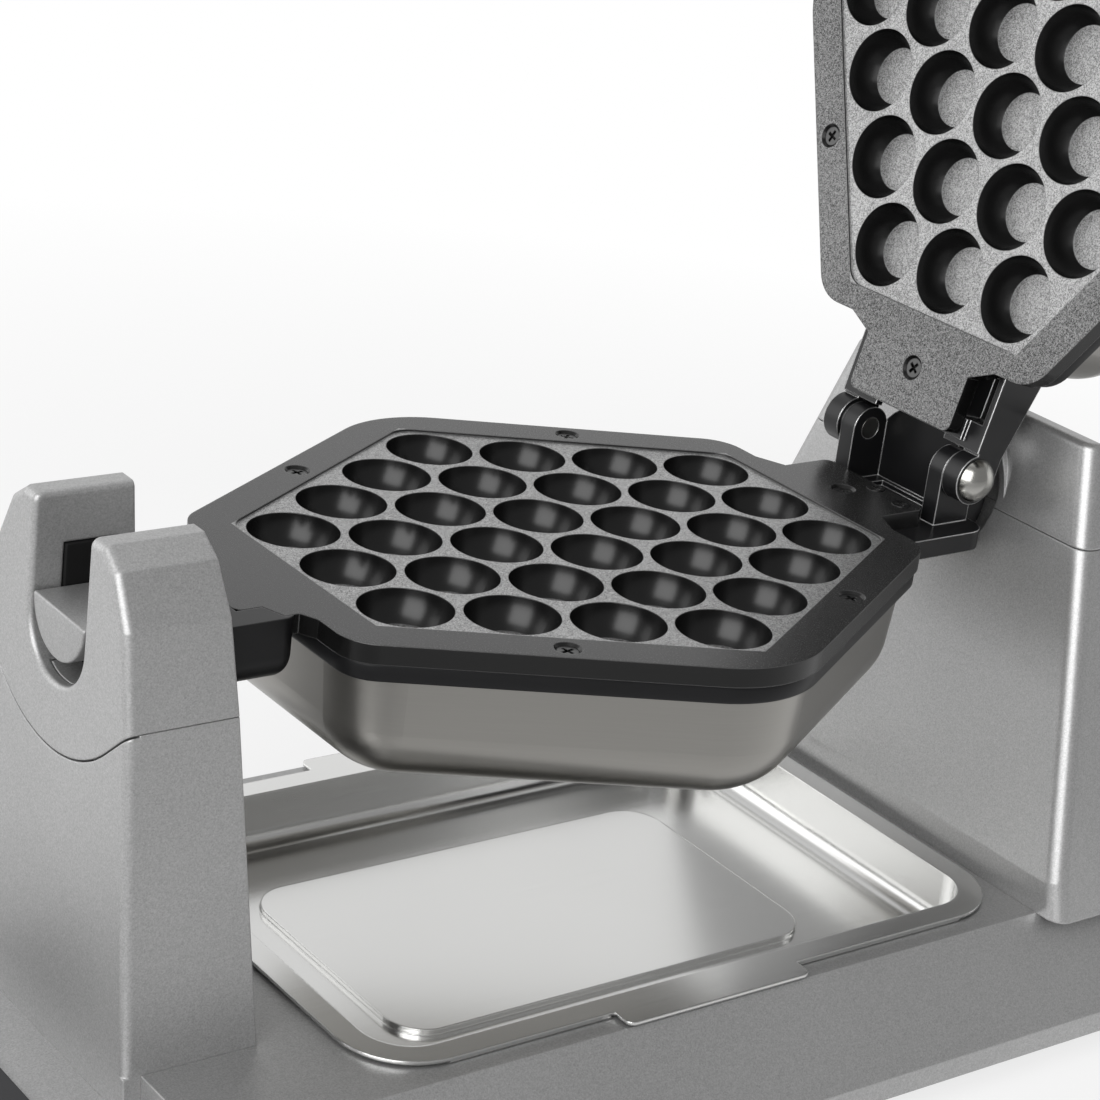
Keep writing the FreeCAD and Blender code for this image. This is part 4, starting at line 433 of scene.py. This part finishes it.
def tray_finish():
    """Bright sheet steel, brushed lengthwise."""
    return brushed_finish("tray_steel", colours().tray, TRAY, 4.0, sizes().edge)


def plain_metal(name, colour, roughness, grain=600.0):
    """Bare or plated metal with faint unevenness."""
    finish, look = Finish(name), METAL
    cloud = finish.noise(look.cloud_scale, 3.0)
    fine = finish.noise(grain)
    soft = finish.soft_edges(sizes().edge * look.edge_width)
    dark, light = shade_of(colour, look.dark), shade_of(colour, look.light)
    return finish.set(
        Base_Color=finish.blend(cloud, dark, light), Metallic=1.0,
        Roughness=roughness + fine * look.rough_spread,
        Normal=finish.bumped(fine, look.depth, look.strength, soft))


def plastic(name, colour, roughness, grain=1600.0, depth=0.00002, shine=0.5):
    """Moulded plastic or rubber with a fine texture."""
    finish, look = Finish(name), PLASTIC
    fine = finish.noise(grain)
    cloud = finish.noise(look.cloud_scale)
    soft = finish.soft_edges(sizes().edge * look.edge_width)
    dark, light = shade_of(colour, look.dark), shade_of(colour, look.light)
    return finish.set(
        Base_Color=finish.blend(cloud, dark, light), Specular_IOR_Level=shine,
        Roughness=roughness + fine * look.rough_spread,
        Normal=finish.bumped(fine, depth, look.strength, soft))


def lamp_finish():
    """Lenses of the two lamps, one red and one green."""
    finish, look = Finish("lamp_lens"), LENS
    side = finish.node("ShaderNodeSeparateXYZ", {}, (finish.place,), "Y")
    colour = finish.blend(side.above(0.0, look.line_width), look.red, look.green)
    ripple = finish.noise(look.ripple_scale, 1.0)
    return finish.set(Base_Color=colour, Roughness=look.rough + ripple * look.rough_spread)


FINISHES = {
    "silver_case": silver_finish,
    "black_trim": black_finish,
    "cast_plate": plate_finish,
    # The upper plate: the same coating as the lower, with a paler flange that is painted light.
    "upper_cast_plate": lambda: plate_finish(
        "upper_cast_plate", math.radians(JOINTS["lid_hinge"]["range_deg"][1]),
        LIT_UPPER_FLANGE, bright=0.6, sheen=0.0),
    # Near-white metallic edges: partly machined metal showing, partly a painted highlight.
    "machined_black": lambda: black_finish(
        "machined_black", edge_wear_and_highlight_share=0.95, worn_and_highlight_colour=(0.75, 0.75, 0.75), gloss=0.45),
    "pan_steel": casing_finish,
    "tray_steel": tray_finish,
    "polished_steel": lambda: plain_metal("polished_steel", (0.46, 0.455, 0.43), 0.17, 200.0),
    "trunnion_grey": lambda: silver_finish("trunnion_grey", tone_share=0.9),
    "housing_silver": lambda: silver_finish("housing_silver", rough=0.30),
    "screw_steel": lambda: plain_metal("screw_steel", (0.10, 0.10, 0.10), 0.26),
    "bare_steel": lambda: plain_metal("bare_steel", (0.50, 0.50, 0.50), 0.34),
    "element_sheath": lambda: plain_metal("element_sheath", (0.20, 0.18, 0.17), 0.45),
    "black_plastic": lambda: plastic("black_plastic", (0.018, 0.018, 0.02), 0.42),
    "bearing_liner": lambda: plastic(
        "bearing_liner", (0.006, 0.006, 0.006), 0.45, shine=0.15),
    "grip_black": lambda: plastic("grip_black", (0.014, 0.014, 0.015), 0.28),
    "foot_rubber": lambda: plastic("foot_rubber", (0.02, 0.02, 0.02), 0.75, 900.0),
    "board_green": lambda: plastic("board_green", (0.03, 0.12, 0.05), 0.45),
    "pointer_white": lambda: plastic("pointer_white", (0.75, 0.75, 0.74), 0.35),
    "lamp_lens": lamp_finish,
}
made_finishes = {}


def finish_named(name):
    """A finish by its slot's name, made the first time it is asked for."""
    if name not in made_finishes:
        made_finishes[name] = FINISHES[name]()
    return made_finishes[name]


# Mesh helpers

def add_mesh(name, builder):
    """A mesh object at the origin, shaped by a function that fills a bmesh."""
    mesh = bpy.data.meshes.new(name)
    shape = bmesh.new()
    builder(shape)
    shape.to_mesh(mesh)
    shape.free()
    made = bpy.data.objects.new(name, mesh)
    bpy.context.scene.collection.objects.link(made)
    return made


def give(piece, body, slot):
    """Finishes a piece with a slot's material and lets it ride on a body."""
    piece.data.materials.clear()
    piece.data.materials.append(finish_named(slot))
    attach(piece, body)


def smooth(piece, angle=32.0):
    """Smooth faces with sharp edges where the surface turns by more than an angle."""
    piece.data.polygons.foreach_set("use_smooth", [True] * len(piece.data.polygons))
    piece.data.set_sharp_from_angle(angle=math.radians(angle))


def settle(piece):
    """Turns a piece with its modifiers into a plain mesh."""
    graph = bpy.context.evaluated_depsgraph_get()
    plain = bpy.data.meshes.new_from_object(piece.evaluated_get(graph))
    piece.modifiers.clear()
    piece.data = plain


# Geometry Nodes

HEAD_SIDES = 40
SLOT_LENGTH_SHARE = 1.25


class Growth:
    """A Geometry Nodes tree with named inputs, built from node calls."""

    def __init__(self, name, inputs):
        self.tree = bpy.data.node_groups.new(name, "GeometryNodeTree")
        face = self.tree.interface
        face.new_socket("Geometry", in_out="INPUT", socket_type="NodeSocketGeometry")
        for label, (kind, default) in inputs.items():
            socket = face.new_socket(label, in_out="INPUT", socket_type=kind)
            if default is not None:
                socket.default_value = default
        face.new_socket("Geometry", in_out="OUTPUT", socket_type="NodeSocketGeometry")
        self.source = self.tree.nodes.new("NodeGroupInput")

    def input(self, label):
        return self.source.outputs[label]

    def node(self, kind, settings, inputs, output=0):
        made = self.tree.nodes.new(kind)
        for key, value in settings.items():
            setattr(made, key, value)
        pairs = inputs.items() if isinstance(inputs, dict) else enumerate(inputs)
        for key, value in pairs:
            for link in value if isinstance(value, list) else [value]:
                if isinstance(link, bpy.types.NodeSocket):
                    self.tree.links.new(link, made.inputs[key])
                else:
                    made.inputs[key].default_value = link
        return made.outputs[output]

    def maths(self, operation, first, second):
        return self.node("ShaderNodeMath", {"operation": operation}, (first, second))

    def vector(self, x, y, z):
        return self.node("ShaderNodeCombineXYZ", {}, (x, y, z))

    def close(self, geometry):
        """Ends the tree with real geometry in the material that is asked for."""
        real = self.node("GeometryNodeRealizeInstances", {}, (geometry,))
        done = self.node("GeometryNodeSetMaterial", {},
                         {"Geometry": real, "Material": self.input("Material")})
        out = self.tree.nodes.new("NodeGroupOutput")
        self.tree.links.new(done, out.inputs[0])
        return self.tree


def grow(name, tree, points, values):
    """A plain mesh of what a tree grows on some points."""
    seed = add_mesh(name, lambda shape: [shape.verts.new(point) for point in points])
    modifier = seed.modifiers.new("Growth", "NODES")
    modifier.node_group = tree
    for item in tree.interface.items_tree:
        if item.in_out == "INPUT" and item.name in values:
            modifier[item.identifier] = values[item.name]
    settle(seed)
    seed.data.name = name
    return seed


def cross_head_tree():
    """Screw heads with a cross slot, each turned its own way."""
    growth = Growth("CrossHeads", {
        "Top Radius": ("NodeSocketFloat", 0.004),
        "Bottom Radius": ("NodeSocketFloat", 0.002),
        "Head Height": ("NodeSocketFloat", 0.0026),
        "Top Level": ("NodeSocketFloat", 0.0),
        "Slot Width": ("NodeSocketFloat", 0.001),
        "Slot Depth": ("NodeSocketFloat", 0.0015),
        "Seed": ("NodeSocketInt", 7),
        "Material": ("NodeSocketMaterial", None),
    })
    radius, height = growth.input("Top Radius"), growth.input("Head Height")
    level = growth.input("Top Level")
    head = growth.node(
        "GeometryNodeMeshCone", {"fill_type": "NGON"},
        {"Vertices": HEAD_SIDES, "Side Segments": 1, "Fill Segments": 1, "Radius Top": radius,
         "Radius Bottom": growth.input("Bottom Radius"), "Depth": height})
    low = growth.maths("SUBTRACT", level, height)
    head = growth.node("GeometryNodeTransform", {}, {
        "Geometry": head, "Translation": growth.vector(0.0, 0.0, low)})
    depth = growth.maths("MULTIPLY", growth.input("Slot Depth"), 2.0)
    long_side = growth.maths("MULTIPLY", radius, SLOT_LENGTH_SHARE)
    bars = []
    for across in (True, False):
        width = growth.input("Slot Width")
        size = (long_side, width, depth) if across else (width, long_side, depth)
        bar = growth.node("GeometryNodeMeshCube", {}, {"Size": growth.vector(*size)})
        bars.append(growth.node("GeometryNodeTransform", {}, {
            "Geometry": bar, "Translation": growth.vector(0.0, 0.0, level)}))
    cut = growth.node("GeometryNodeMeshBoolean", {"operation": "DIFFERENCE"},
                      {"Mesh 1": head, "Mesh 2": bars})
    turn = growth.node(
        "FunctionNodeRandomValue", {"data_type": "FLOAT"},
        {"Min": 0.0, "Max": math.pi / 2, "Seed": growth.input("Seed")}, "Value")
    placed = growth.node(
        "GeometryNodeInstanceOnPoints", {},
        {"Points": growth.input("Geometry"), "Instance": cut,
         "Rotation": growth.vector(0.0, 0.0, turn)})
    return growth.close(placed)


def dial_tree():
    """Marks that stand round a dial, each pointing to its middle."""
    growth = Growth("DialMarks", {
        "Length": ("NodeSocketFloat", 0.002),
        "Width": ("NodeSocketFloat", 0.0006),
        "Height": ("NodeSocketFloat", 0.0002),
        "Material": ("NodeSocketMaterial", None),
    })
    size = growth.vector(growth.input("Length"), growth.input("Width"), growth.input("Height"))
    mark = growth.node("GeometryNodeMeshCube", {}, {"Size": size})
    place = growth.node("GeometryNodeInputPosition", {}, {})
    parts = growth.tree.nodes.new("ShaderNodeSeparateXYZ")
    growth.tree.links.new(place, parts.inputs[0])
    bearing = growth.maths("ARCTAN2", parts.outputs["Y"], parts.outputs["X"])
    placed = growth.node(
        "GeometryNodeInstanceOnPoints", {},
        {"Points": growth.input("Geometry"), "Instance": mark,
         "Rotation": growth.vector(0.0, 0.0, bearing)})
    return growth.close(placed)


# Pieces. Screw places are in metres; each group of screws has its own seed for its slots.

SUNK = SimpleNamespace(top_share=1.0, bottom_share=0.5, height_share=0.62)
RAISED = SimpleNamespace(top_share=0.72, bottom_share=1.0, height_share=0.35)
PLATE_SCREW_LEVEL = -0.0006
LOWER_SEED, UPPER_SEED, TAB_SEED, PANEL_SEED = 7, 11, 3, 5
TAB_SCREWS = ((0.134, -0.004), (0.132, -0.0195))
TAB_SCREW_RADIUS, TAB_SCREW_LEVEL = 0.0034, 0.0002
PANEL_SCREW_RADIUS, PANEL_SCREW_LEVEL, PANEL_INSET = 0.0032, 0.0011, 0.006
DIAL_MARKS = 10
EASED = {"lower_bezel": 0.0008, "upper_bezel": 0.0008, "lower_trunnion": 0.0006,
         "upper_trunnion": 0.0006, "post_bearing": 0.0005, "bearing_bracket": 0.0005}
MERGE_REACH, FLAT_ANGLE, EASED_ANGLE = 2e-6, math.radians(0.6), math.radians(30.0)
FLUSH = 1e-5
OWN_FINISHES = {
    "upper_plate": "upper_cast_plate", "hinge_arms": "machined_black",
    "rear_yoke": "machined_black", "rear_housing": "housing_silver",
    "housing_cap": "housing_silver",
}


def node_centres(node):
    """The middle of each separate solid of a CAD node, in the row frame."""
    shape = bmesh.new()
    shape.from_mesh(NODES[node].data)
    bmesh.ops.remove_doubles(shape, verts=shape.verts, dist=1e-6)
    left = set(shape.verts)
    centres = []
    while left:
        island, edge = set(), [left.pop()]
        while edge:
            vertex = edge.pop()
            island.add(vertex)
            for link in vertex.link_edges:
                other = link.other_vert(vertex)
                if other in left:
                    left.discard(other)
                    edge.append(other)
        lows = [min(v.co[i] for v in island) for i in range(3)]
        highs = [max(v.co[i] for v in island) for i in range(3)]
        centres.append(Vector((a + b) / 2 for a, b in zip(lows, highs)))
    shape.free()
    return centres


def lid_frame():
    """The turn that takes the closed upper pan to where it stands open."""
    hinge = JOINTS["lid_hinge"]
    pivot = Vector(hinge["pos_m"])
    turn = Matrix.Rotation(-math.radians(hinge["range_deg"][1]), 4, Vector(hinge["axis"]))
    return Matrix.Translation(pivot) @ turn @ Matrix.Translation(-pivot)


def head_sizes(radius, level, head, seed):
    """Inputs of the screw tree for a sunk or a raised head."""
    return {
        "Top Radius": radius * head.top_share, "Bottom Radius": radius * head.bottom_share,
        "Head Height": radius * head.height_share, "Top Level": level,
        "Slot Width": sizes().cross_width, "Slot Depth": sizes().cross_depth,
        "Seed": seed, "Material": finish_named("screw_steel"),
    }


def plate_screws():
    """The countersunk cross-head screws of both cast plates."""
    tree = cross_head_tree()
    lower = node_centres("lower_plate_screws")
    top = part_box("lower_plate_screws")[1].z
    points = [(centre.x, centre.y, top) for centre in lower]
    screws = grow("lower_cross_heads", tree, points,
                  head_sizes(sizes().rim_screw, PLATE_SCREW_LEVEL, SUNK, LOWER_SEED))
    give(screws, "lower_pan", "screw_steel")
    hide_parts("lower_plate_screws")

    axis_height = JOINTS["pan_turn"]["pos_m"][2]
    twin = grow("upper_cross_heads", tree, points,
                head_sizes(sizes().rim_screw, PLATE_SCREW_LEVEL, SUNK, UPPER_SEED))
    over = Matrix.Translation((0, 0, axis_height)) @ Matrix.Rotation(math.pi, 4, "X")
    over = over @ Matrix.Translation((0, 0, -axis_height))
    twin.data.transform(lid_frame() @ over)
    give(twin, "upper_pan", "screw_steel")
    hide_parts("upper_plate_screws")


def small_screws():
    """The two small screws beside the rear tab's middle, and the back panel's screws."""
    tree = cross_head_tree()
    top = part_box("lower_plate")[1].z
    tab = grow("tab_screws", tree, [(x, y, top) for x, y in TAB_SCREWS],
               head_sizes(TAB_SCREW_RADIUS, TAB_SCREW_LEVEL, SUNK, TAB_SEED))
    give(tab, "lower_pan", "screw_steel")

    low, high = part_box("back_panel")
    points = [(-z, y, 0.0) for y in (low.y + PANEL_INSET, high.y - PANEL_INSET)
              for z in (low.z + PANEL_INSET, (low.z + high.z) / 2, high.z - PANEL_INSET)]
    back = grow("panel_screws", tree, points,
                head_sizes(PANEL_SCREW_RADIUS, PANEL_SCREW_LEVEL, RAISED, PANEL_SEED))
    outward = Matrix(((0, 0, 1), (0, 1, 0), (-1, 0, 0))).to_4x4()
    back.data.transform(Matrix.Translation((high.x, 0, 0)) @ outward)
    give(back, "stand", "screw_steel")


def dial_marks():
    """Printed marks round the thermostat knob, from its coldest to its hottest place."""
    knob = JOINTS["knob_turn"]
    centre, axis = Vector(knob["pos_m"]), Vector(knob["axis"])
    reach = sizes().dial_reach
    sweep = math.radians(knob["range_deg"][0])
    points = []
    for step in range(DIAL_MARKS):
        angle = sweep * step / (DIAL_MARKS - 1)
        points.append((reach * math.cos(angle), reach * math.sin(angle), 0.0))
    marks = grow("dial_marks", dial_tree(), points, {"Material": finish_named("pointer_white")})
    low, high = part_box("knob_pointer")
    pointing = (low + high) / 2 - centre
    pointing = (pointing - axis * pointing.dot(axis)).normalized()
    turn = Matrix((pointing, axis.cross(pointing), axis)).transposed().to_4x4()
    marks.data.transform(Matrix.Translation(centre) @ turn)
    give(marks, "stand", "pointer_white")


def leave_stem_room(shape):
    """Draws the trunnion's end back a hair from the handle's stem."""
    end = min(vertex.co.x for vertex in shape.verts)
    for vertex in shape.verts:
        if vertex.co.x < end + FLUSH:
            vertex.co.x += sizes().stem_room


def eased_castings():
    """Copies of the bezels, trunnions and bearings with their sharp edges rounded off."""
    bodies = frame["record"]["behaviour"]["bodies"]
    for node, radius in EASED.items():
        def copied(shape, node=node):
            shape.from_mesh(NODES[node].data)
            bmesh.ops.remove_doubles(shape, verts=shape.verts, dist=MERGE_REACH)
            bmesh.ops.dissolve_limit(shape, angle_limit=FLAT_ANGLE, verts=shape.verts,
                                     edges=shape.edges)
            if node == "lower_trunnion":
                leave_stem_room(shape)

        piece = add_mesh("eased_" + node, copied)
        edges = piece.modifiers.new("Edges", "BEVEL")
        edges.width = radius
        edges.segments = 3
        edges.limit_method = "ANGLE"
        edges.angle_limit = EASED_ANGLE
        edges.use_clamp_overlap = False
        settle(piece)
        smooth(piece)
        give(piece, next(body for body in bodies if node in bodies[body]), SLOTS[node])
        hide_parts(node)


def dress_nodes():
    """Gives every CAD node that still shows its own finish or its slot's."""
    for name, node in NODES.items():
        material = finish_named(OWN_FINISHES.get(name, SLOTS[name]))
        if not node.material_slots:
            node.data.materials.append(material)
        for slot in node.material_slots:
            slot.material = material


# Stage. Lamps have their place, target, two sides in metres and power in watts; the
# camera has its place in metres and its turns in degrees.

LAMPS = {
    "key": ((-1.7, -1.0, 1.2), (0.0, 0.0, 0.15), (2.0, 2.0), 46.0),
    "back": ((-1.6, 2.0, 1.0), (0.1, 0.0, 0.25), (2.6, 2.0), 15.0),
    "top": ((0.2, 0.2, 2.0), (0.0, 0.0, 0.15), (1.8, 1.4), 3.0),
}
CAMERA = SimpleNamespace(
    place=(-0.5615, -0.6959, 0.5187), yaw=38.578, pitch=21.453, roll=7.211,
    sensor=36.0, near=0.05)
FLOOR = SimpleNamespace(
    half=6.0, tint_scale=3.0, low_tint=(0.88, 0.88, 0.88), high_tint=(0.90, 0.90, 0.90),
    far=0.75, far_softness=0.5, near_share=0.72, mirror_share=0.8,
    behind_slope=0.5, behind_level=-0.25, behind_softness=0.5,
    dark_place=(-0.43, -0.22), dark_level=0.045, dark_softness=0.05,
    front=(0.42, 0.42, 0.42), dark=(0.03, 0.03, 0.03), back=(0.95, 0.95, 0.95))
SURROUND = SimpleNamespace(
    white_way=(0.30, 0.92, -0.25), level=0.30, softness=1.1, mirrored=0.34, plain=0.42)
WHITE = (1.0, 1.0, 1.0)


def aim(thing, place, target):
    """Puts a light or panel at a place and turns it to a target."""
    thing.location = place
    thing.rotation_euler = (Vector(target) - Vector(place)).to_track_quat("-Z", "Y").to_euler()


def area_light(name, place, target, size, power):
    lamp = bpy.data.lights.new(name, "AREA")
    lamp.shape = "RECTANGLE"
    lamp.size, lamp.size_y = size
    lamp.energy = power
    made = bpy.data.objects.new(name, lamp)
    bpy.context.scene.collection.objects.link(made)
    aim(made, place, target)


def pale_floor():
    """A pale floor that the camera and mirrors see as white, with the machine's soft
    shadow. In front of the machine it looks darker in polished metal."""
    finish, look = Finish("studio_floor"), FLOOR
    tint = finish.noise(look.tint_scale, 1.0)
    colour = finish.blend(tint, look.low_tint, look.high_tint)
    finish.set(Base_Color=colour, Roughness=0.9, Specular_IOR_Level=0.0)
    along = finish.node("ShaderNodeSeparateXYZ", {}, (finish.place,), "X")
    across = finish.node("ShaderNodeSeparateXYZ", {}, (finish.place,), "Y")
    away = (along * along + across * across) ** 0.5
    far = away.above(look.far, look.far_softness)
    camera, glossy, clear = finish.rays()
    behind = (along * look.behind_slope + across).above(look.behind_level,
                                                        look.behind_softness)
    # A dark patch at the front left and a grey front that only mirrors see: a painted reflection.
    gap_x, gap_y = along - look.dark_place[0], across - look.dark_place[1]
    gap = gap_x * gap_x + gap_y * gap_y
    dark = 1.0 - gap.above(look.dark_level, look.dark_softness)
    mirrored = finish.blend(behind, finish.blend(dark, look.front, look.dark), look.back)
    glow = finish.node("ShaderNodeEmission", {},
                       {"Color": finish.blend(glossy, WHITE, mirrored)})
    seen = camera.larger(clear) * (look.near_share + far * (1.0 - look.near_share))
    share = (seen + glossy * look.mirror_share).clamped()
    mixed = finish.node("ShaderNodeMixShader", {}, (share, finish.shader.outputs[0], glow))
    finish.feed(finish.tree.nodes["Material Output"].inputs["Surface"], mixed)

    def sheet(shape):
        bmesh.ops.create_grid(shape, x_segments=1, y_segments=1, size=look.half)

    floor = add_mesh("studio_floor", sheet)
    floor.data.materials.append(finish.material)


def white_world():
    """A surround that is white to the camera. Mirrors see it white behind the machine and
    grey above and in front, and everything else gets a plain level."""
    world = bpy.data.worlds.new("studio")
    bpy.context.scene.world = world
    world.use_nodes = True
    shading, look = Shading(world.node_tree), SURROUND
    camera, glossy, clear = shading.rays()
    way = shading.node("ShaderNodeTexCoord", {}, (), "Generated")
    facing = shading.node("ShaderNodeVectorMath", {"operation": "DOT_PRODUCT"},
                          (way, look.white_way), "Value")
    white = facing.above(look.level, look.softness)
    mirrored = look.mirrored + white * (1.0 - look.mirrored)
    seen = camera.larger(clear)
    level = seen + (1.0 - seen) * (glossy * mirrored + (1.0 - glossy) * look.plain)
    back = shading.tree.nodes["Background"]
    shading.feed(back.inputs["Strength"], level)
    shading.feed(back.inputs["Color"], WHITE)


def studio():
    """Camera, lights, floor and surround."""
    scene = bpy.context.scene
    scene.view_settings.view_transform = "Standard"
    white_world()
    pale_floor()
    for name, values in LAMPS.items():
        area_light(name, *values)

    lens = bpy.data.cameras.new("camera")
    lens.lens = sizes().lens
    lens.sensor_width = CAMERA.sensor
    lens.clip_start = CAMERA.near
    camera = bpy.data.objects.new("camera", lens)
    scene.collection.objects.link(camera)
    yaw, pitch, roll = (math.radians(turn)
                        for turn in (CAMERA.yaw, CAMERA.pitch, CAMERA.roll))
    ahead = Vector((math.cos(pitch) * math.sin(yaw), math.cos(pitch) * math.cos(yaw),
                    -math.sin(pitch)))
    right = Vector((math.cos(yaw), -math.sin(yaw), 0.0))
    above = right.cross(ahead)
    side = math.cos(roll) * right + math.sin(roll) * above
    upward = math.cos(roll) * above - math.sin(roll) * right
    turn = Matrix((side, upward, -ahead)).transposed().to_4x4()
    camera.matrix_world = Matrix.Translation(CAMERA.place) @ turn
    scene.camera = camera


# Operators

class BAKER_OT_screws(bpy.types.Operator):
    """Make the plates' cross-head screws."""

    bl_idname = "baker.screws"
    bl_label = "Plate screws"

    def execute(self, context):
        plate_screws()
        return {"FINISHED"}


class BAKER_OT_small_screws(bpy.types.Operator):
    """Make the small screws of the rear tab and the back panel."""

    bl_idname = "baker.small_screws"
    bl_label = "Small screws"

    def execute(self, context):
        small_screws()
        return {"FINISHED"}


class BAKER_OT_dial(bpy.types.Operator):
    """Print the marks round the thermostat knob."""

    bl_idname = "baker.dial"
    bl_label = "Dial marks"

    def execute(self, context):
        dial_marks()
        return {"FINISHED"}


class BAKER_OT_castings(bpy.types.Operator):
    """Round the edges of the bezels, trunnions and bearings."""

    bl_idname = "baker.castings"
    bl_label = "Eased castings"

    def execute(self, context):
        eased_castings()
        return {"FINISHED"}


class BAKER_OT_finishes(bpy.types.Operator):
    """Give the machine's castings, casings and sheet steel their finishes."""

    bl_idname = "baker.finishes"
    bl_label = "Finishes"

    def execute(self, context):
        dress_nodes()
        return {"FINISHED"}


class BAKER_OT_studio(bpy.types.Operator):
    """Set up the floor, the surround, the lights and the camera."""

    bl_idname = "baker.studio"
    bl_label = "Studio"

    def execute(self, context):
        studio()
        return {"FINISHED"}


OPERATORS = (BAKER_OT_screws, BAKER_OT_small_screws, BAKER_OT_dial, BAKER_OT_castings,
             BAKER_OT_finishes, BAKER_OT_studio)


class BAKER_PT_panel(bpy.types.Panel):
    """Lists the steps that dress the machine."""

    bl_idname = "BAKER_PT_panel"
    bl_label = "Waffle Baker"
    bl_space_type = "VIEW_3D"
    bl_region_type = "UI"
    bl_category = "Waffle Baker"

    def draw(self, context):
        for group in (context.scene.baker_sizes, context.scene.baker_colours):
            for name in group.__annotations__:
                self.layout.prop(group, name)
        for step in OPERATORS:
            self.layout.operator(step.bl_idname)


CLASSES = (BakerSizes, BakerColours, *OPERATORS, BAKER_PT_panel)


def register():
    for cls in CLASSES:
        bpy.utils.register_class(cls)
    bpy.types.Scene.baker_sizes = bpy.props.PointerProperty(type=BakerSizes)
    bpy.types.Scene.baker_colours = bpy.props.PointerProperty(type=BakerColours)


def unregister():
    del bpy.types.Scene.baker_colours
    del bpy.types.Scene.baker_sizes
    for cls in reversed(CLASSES):
        bpy.utils.unregister_class(cls)


def main():
    register()
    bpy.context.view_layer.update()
    for step in OPERATORS:
        group, name = step.bl_idname.split(".")
        getattr(getattr(bpy.ops, group), name)()


if __name__ == "__main__":
    main()
